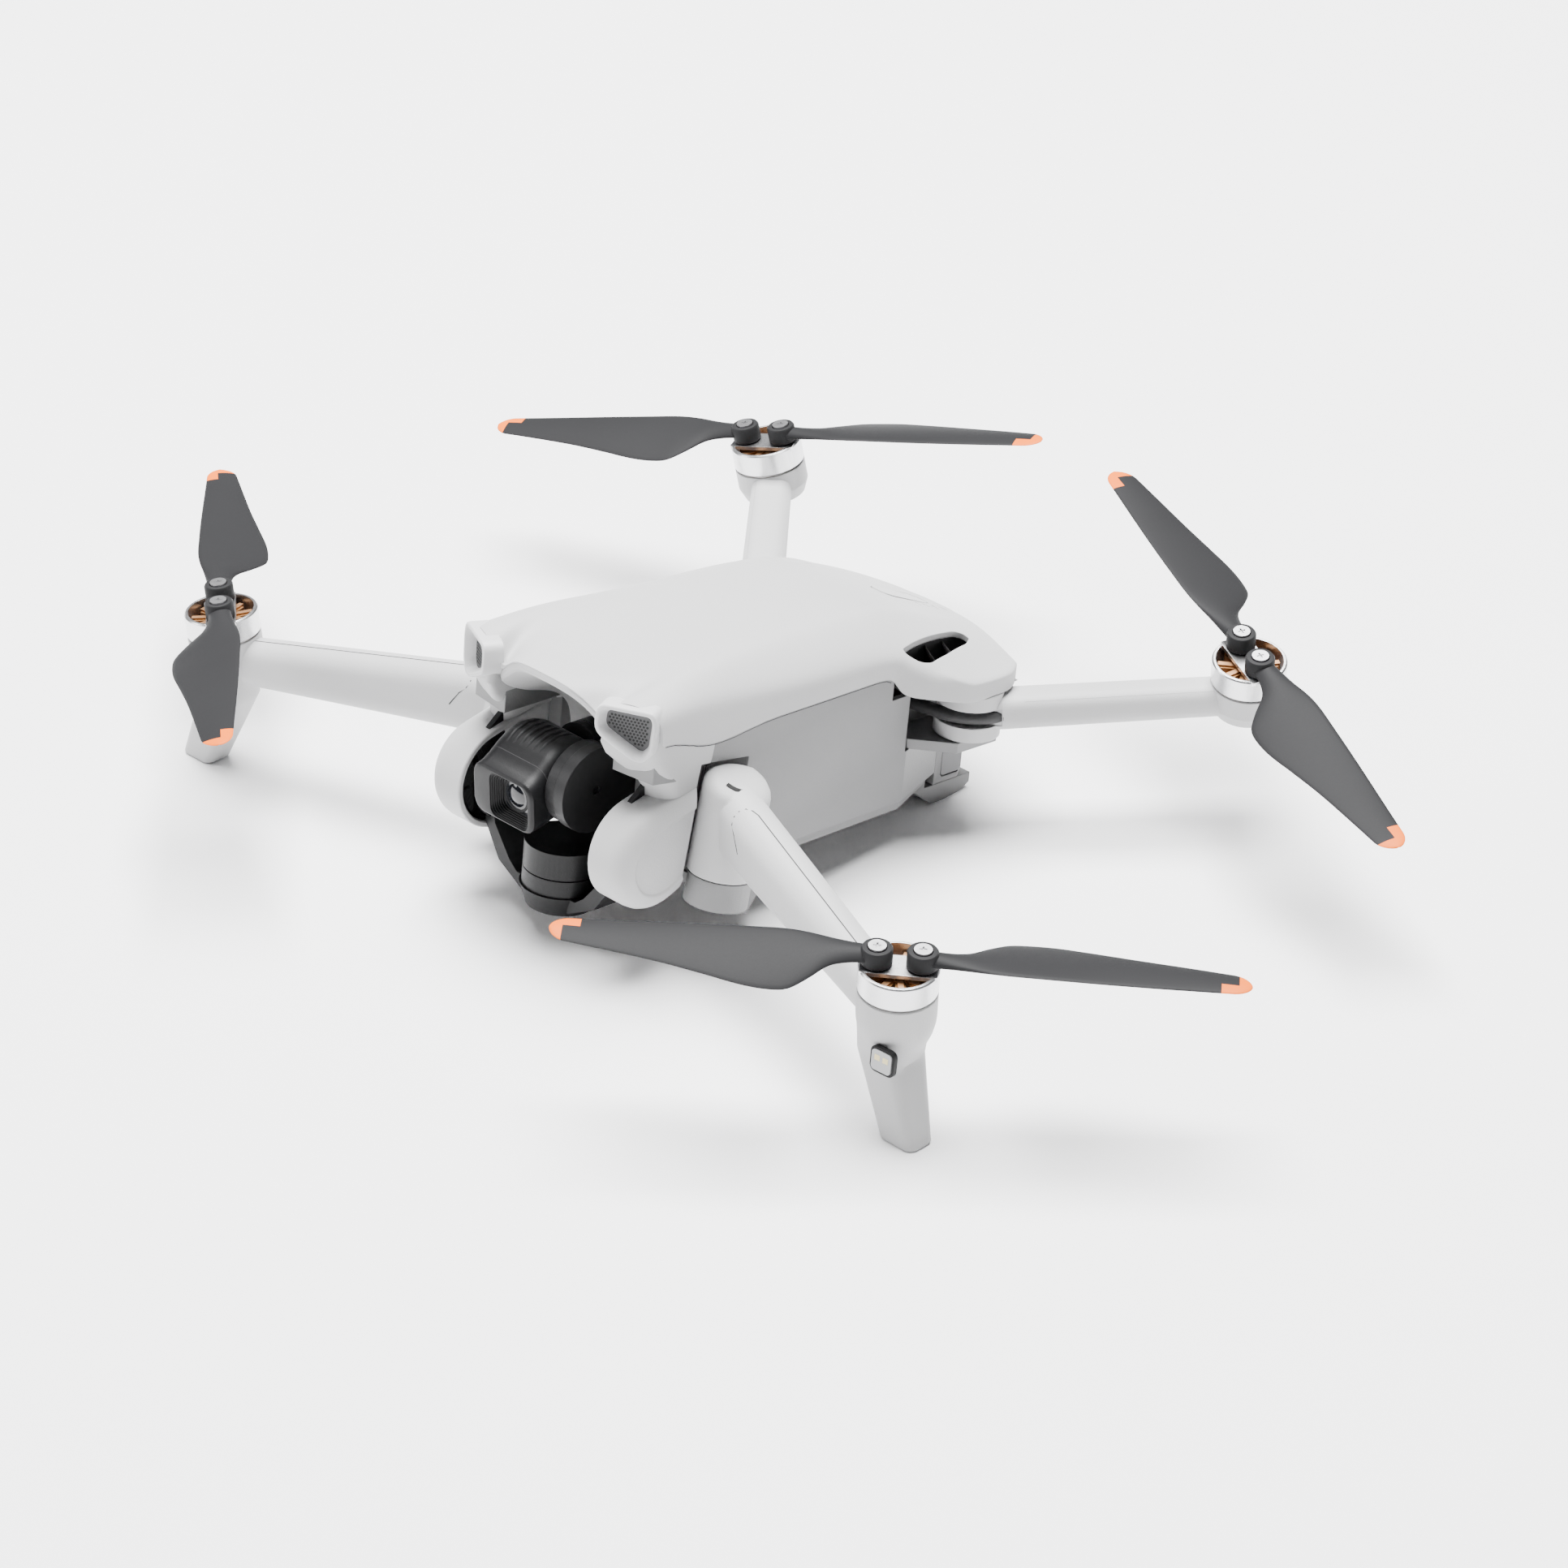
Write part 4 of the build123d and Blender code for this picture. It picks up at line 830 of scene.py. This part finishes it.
def cheek_ring(x, shrink):
    """Outline of a cheek at x: a round nose whose top and bottom run back to the arm's socket."""
    (v1, w1, r1), (v2, w2, r2) = (-63.3, 22.0, 12.6 - shrink), (-46.0, 27.5, 11.6 - shrink)
    lean = atan2(w2 - w1, v2 - v1)
    spread = pi / 2 - atan2(r1 - r2, sqrt((v2 - v1) ** 2 + (w2 - w1) ** 2 - (r1 - r2) ** 2))
    out = []
    for v, w, r, start, sweep in ((v1, w1, r1, lean + spread, 2 * pi - 2 * spread),
                                  (v2, w2, r2, lean - spread, 2 * spread)):
        for k in range(CHEEK_STEPS + 1):
            a = start + sweep * k / CHEEK_STEPS
            out.append(at(x, min(v + r * cos(a), CHEEK_BACK), w + r * sin(a)))
    return out


cheek = [cheek_ring(x, shrink) for x, shrink in (
    (23.0, 1.5), (21.8, 1.5), (21.5, 1.2), (21.5, 0.25), (21.75, 0.0), (28.2, 0.0), (29.6, 0.22), (30.8, 0.8),
    (31.7, 1.6), (32.4, 2.7), (32.8, 3.7), (32.9, 4.2), (32.75, 4.5), (32.45, 4.75), (32.4, 5.2))]
solid = raw("cheek", *rings(cheek), shell)
cut(solid, socket())
two_sides("cheek_skin", solid, 24, node="cheek")

# ---- Arms ---------------------------------------------------------------------------------------


class Beam:
    """An arm's tapering body between two points in millimetres, with its end sizes as (width, height, corner)."""

    def __init__(self, start, end, first, last):
        self.start, self.end, self.first, self.last = Vector(start), Vector(end), first, last
        along = self.end - self.start
        self.axes = Axes(self.start, along, at(0, 0, 1).cross(along))
        self.length = along.length

    def ring(self, t, grow=0.0):
        wide, high, corner = [a + (b - a) * t for a, b in zip(self.first, self.last)]
        return [self.axes.at(x, y, t * self.length)
                for x, y in round_rect(0, 0, wide + 2 * grow, high + 2 * grow, corner)]

    def on(self, t, turn):
        """A point of the skin and its normal: turn runs once round the section from the rear top corner."""
        loop = self.ring(t)
        place = (turn % 1.0) * len(loop)
        k = int(place)
        p = loop[k].lerp(loop[(k + 1) % len(loop)], place - k)
        return p, p - self.axes.at(0, 0, t * self.length)

    def seam(self, path, width=0.3):
        spots = [self.on(t, turn) for t, turn in path]
        return line([p for p, _ in spots], [n for _, n in spots], width)


def slab(outline, depth, mat):
    """A thin plate as a shape: an outline and the same outline moved by depth."""
    return (*rings([outline, [p + depth for p in outline]]), mat)


def arm_tip(hub, depth):
    """The point of a rotor's axis at a depth below its rotor, in millimetres."""
    return ROTORS[hub][0].at(0, 0, depth) * 1000


beam = Beam(at(36.0, -45.5, 30.5) * 1000, arm_tip("front", -18.0), (11.8, 17.2, 5.6), (10.5, 11.0, 4.6))
upright = Axes(ROTORS["front"][0].origin, ROTORS["front"][0].z)

# The knuckle on the hinge, its domed top sloping down towards the arm, with a short slot in it
KNUCKLE = ((0.0, -12.3), (7.6, -12.3), (8.0, -11.9), (8.0, 6.0), (8.0, 8.4), (7.75, 9.9), (7.1, 11.1), (6.0, 11.9),
           (4.5, 12.3), (2.4, 12.45), (0.0, 12.5))
knuckle = Axes(FRONT_PIVOT, FRONT_AXIS, beam.axes.z)
hub_points, hub_faces = lathe(knuckle, KNUCKLE)
for n, p in enumerate(hub_points):
    local = p * 1000 - knuckle.origin
    ahead, lift = local.dot(knuckle.x), local.dot(knuckle.z)
    if lift > 5:
        hub_points[n] = p - knuckle.z * 0.001 * 0.36 * max(0.0, ahead + 3.0) * (lift - 5.0) / 7.0
slot_points, slot_normals = [], []
for k in range(9):
    turn = radians(-62 + 6.5 * k)
    x, y = 4.9 * cos(turn), 4.9 * sin(turn)
    slot_points.append(knuckle.at(x, y, 12.2 - 0.37 * max(0.0, x + 3.0)))
    slot_normals.append(knuckle.z + knuckle.x * (0.36 + 0.05 * x) + knuckle.y * 0.05 * y)

# The motor's pod, and the leg under it down to its sole on the ground
POD = ((1.6, -15.4), (7.5, -15.4), (7.5, -11.5), (7.7, -11.25), (8.6, -11.25), (8.85, -11.45), (8.9, -11.8),
       (8.9, -17.0), (8.75, -19.0), (8.2, -21.5), (7.2, -24.0), (6.0, -26.0), (0.0, -26.6))
SOLE = Vector((0.1184, -0.0695, 0.0))
pod = lathe(upright, POD)
top = [upright.at(x, y - 0.4, -17.0) for x, y in round_rect(0, 0, 17.0, 16.6, 8.2)]
neck_ring = [upright.at(x, y - 0.8, -22.5) for x, y in round_rect(0, 0, 15.0, 14.0, 6.0)]
shin = [upright.at(x, y - 1.0, -27.0) for x, y in round_rect(0, 0, 13.2, 11.6, 3.4)]
sole = [Vector((118.4 + x, -69.5 + y, 0)) / 1000 for x, y in round_rect(0, 0, 10.4, 7.6, 2.2)]
leg = [top, [a.lerp(b, 0.6) for a, b in zip(top, neck_ring)], neck_ring,
       [a.lerp(b, 0.5) for a, b in zip(neck_ring, shin)], shin]
leg += [[a.lerp(b, t) for a, b in zip(shin, sole)] for t in (0.08, 0.3, 0.6, 0.9, 0.965)]
leg.append([p.lerp(Vector((SOLE.x, SOLE.y, p.z)), 0.06) for p in [a.lerp(b, 0.99) for a, b in zip(shin, sole)]])
leg.append([SOLE.lerp(p, 0.88) for p in sole])

# Lines along the arm as (share of its length, turn round its section), and the light in the leg
FRONT_PANEL = [(0.95 - 0.79 * k / 16, 0.262) for k in range(17)] + [
    (0.135, 0.275), (0.118, 0.30), (0.112, 0.34), (0.114, 0.38), (0.124, 0.42), (0.15, 0.46), (0.185, 0.485)]
face = Axes((116.4, -75.0, 22.0), (0.05, -1, 0.12))
gasket = [[face.at(x, y, z) for x, y in round_rect(0, 0, 5.6 + 2 * g, 5.0 + 2 * g, 1.0 + g)]
          for g, z in ((0.62, -0.8), (0.62, 0.2), (0.4, 0.38), (0.15, 0.38), (0.02, 0.2), (0.02, -0.8))]
diodes = [slab([face.at(x + dx, y, 0.6) for dx, y in ((-0.75, 0.0), (0.75, 0.0), (0.75, 1.3), (-0.75, 1.3))],
               face.z * 0.00005, diode) for x in (-1.15, 1.15)]
limb = [(*rings([beam.ring(k / 12) for k in range(13)]), shell), (hub_points, hub_faces, shell), (*pod, shell),
        (*rings(leg), shell), stripe([beam.seam(FRONT_PANEL)], seam_line_and_shadow),
        stripe([line(slot_points, slot_normals, 1.0, 0.22)], hole_black),
        (*rings(gasket, open_ends=True), dark), *diodes]
for side, form in (("left", limb), ("right", mirrored(limb))):
    gather(f"arm_skin_front_{side}", form, f"front_arm_{side}", angle=32,
           replaces=(f"front_arm_{side}",))

# The rear arms: a thin sleeve round the beam, and the outline of its cover
rear_beam = Beam(at(35.0, 34.0, 35.0) * 1000, arm_tip("rear", -15.6), (11.0, 8.6, 3.5), (10.0, 8.2, 3.5))
REAR_PANEL = [(0.20 + 0.68 * k / 14, 0.36) for k in range(15)] + [
    (0.90, 0.375), (0.912, 0.40), (0.915, 0.44), (0.915, 0.52), (0.912, 0.56)]
SLEEVE_END = [(0.118, 0.02 * k) for k in range(51)]
sleeve = [rear_beam.ring(t, 0.03) for t in (0.115, 0.2, 0.4, 0.6, 0.8, 0.98)]
rear_limb = [(*rings(sleeve), shell), stripe([rear_beam.seam(REAR_PANEL), rear_beam.seam(SLEEVE_END)], seam_line_and_shadow)]
for side, form in (("left", rear_limb), ("right", mirrored(rear_limb))):
    gather(f"arm_sleeve_rear_{side}", form, f"rear_arm_{side}", angle=32)

# Braided cables from the body into the rear arms
CABLE_W = 35.7
CABLE = ((20.0, 22.5), (25.5, 24.9), (31.0, 25.9), (36.0, 27.0), (39.8, 29.8), (41.9, 33.2), (42.6, 37.0), (43.4, 41.5))
for side, sign in (("left", 1), ("right", -1)):
    run = bpy.data.curves.new("cable_run", "CURVE")
    run.dimensions = "3D"
    thread = run.splines.new("NURBS")
    thread.points.add(len(CABLE) - 1)
    for spot, (x, v) in zip(thread.points, CABLE):
        spot.co = (*at(sign * x, v, CABLE_W), 1)
    thread.order_u = 3
    thread.use_endpoint_u = True
    run.resolution_u = 6
    run.bevel_depth = 0.0016
    run.bevel_resolution = 5
    run.materials.append(braid)
    guide = link(bpy.data.objects.new("cable_guide", run))
    bpy.context.view_layer.update()
    tube = bpy.data.meshes.new_from_object(guide.evaluated_get(bpy.context.evaluated_depsgraph_get()))
    tube.polygons.foreach_set("use_smooth", [True] * len(tube.polygons))
    bpy.data.objects.remove(guide)
    cable = link(bpy.data.objects.new(f"cable_{side}", tube))
    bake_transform(cable)
    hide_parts(f"arm_cable_{side}")

# ---- Floor ------------------------------------------------------------------------------------

mesh = bpy.data.meshes.new("floor")
mesh.from_pydata([(-6, -6, 0), (6, -6, 0), (6, 6, 0), (-6, 6, 0)], [], [(0, 1, 2, 3)])
floor = link(bpy.data.objects.new("floor", mesh))
floor.data.materials.append(material("floor_paint", (0.96, 0.96, 0.965), 0.7, grain=0.02, grain_size=2.0, wear=0.0,
                                     mottle=0.004, sheen=0.2))
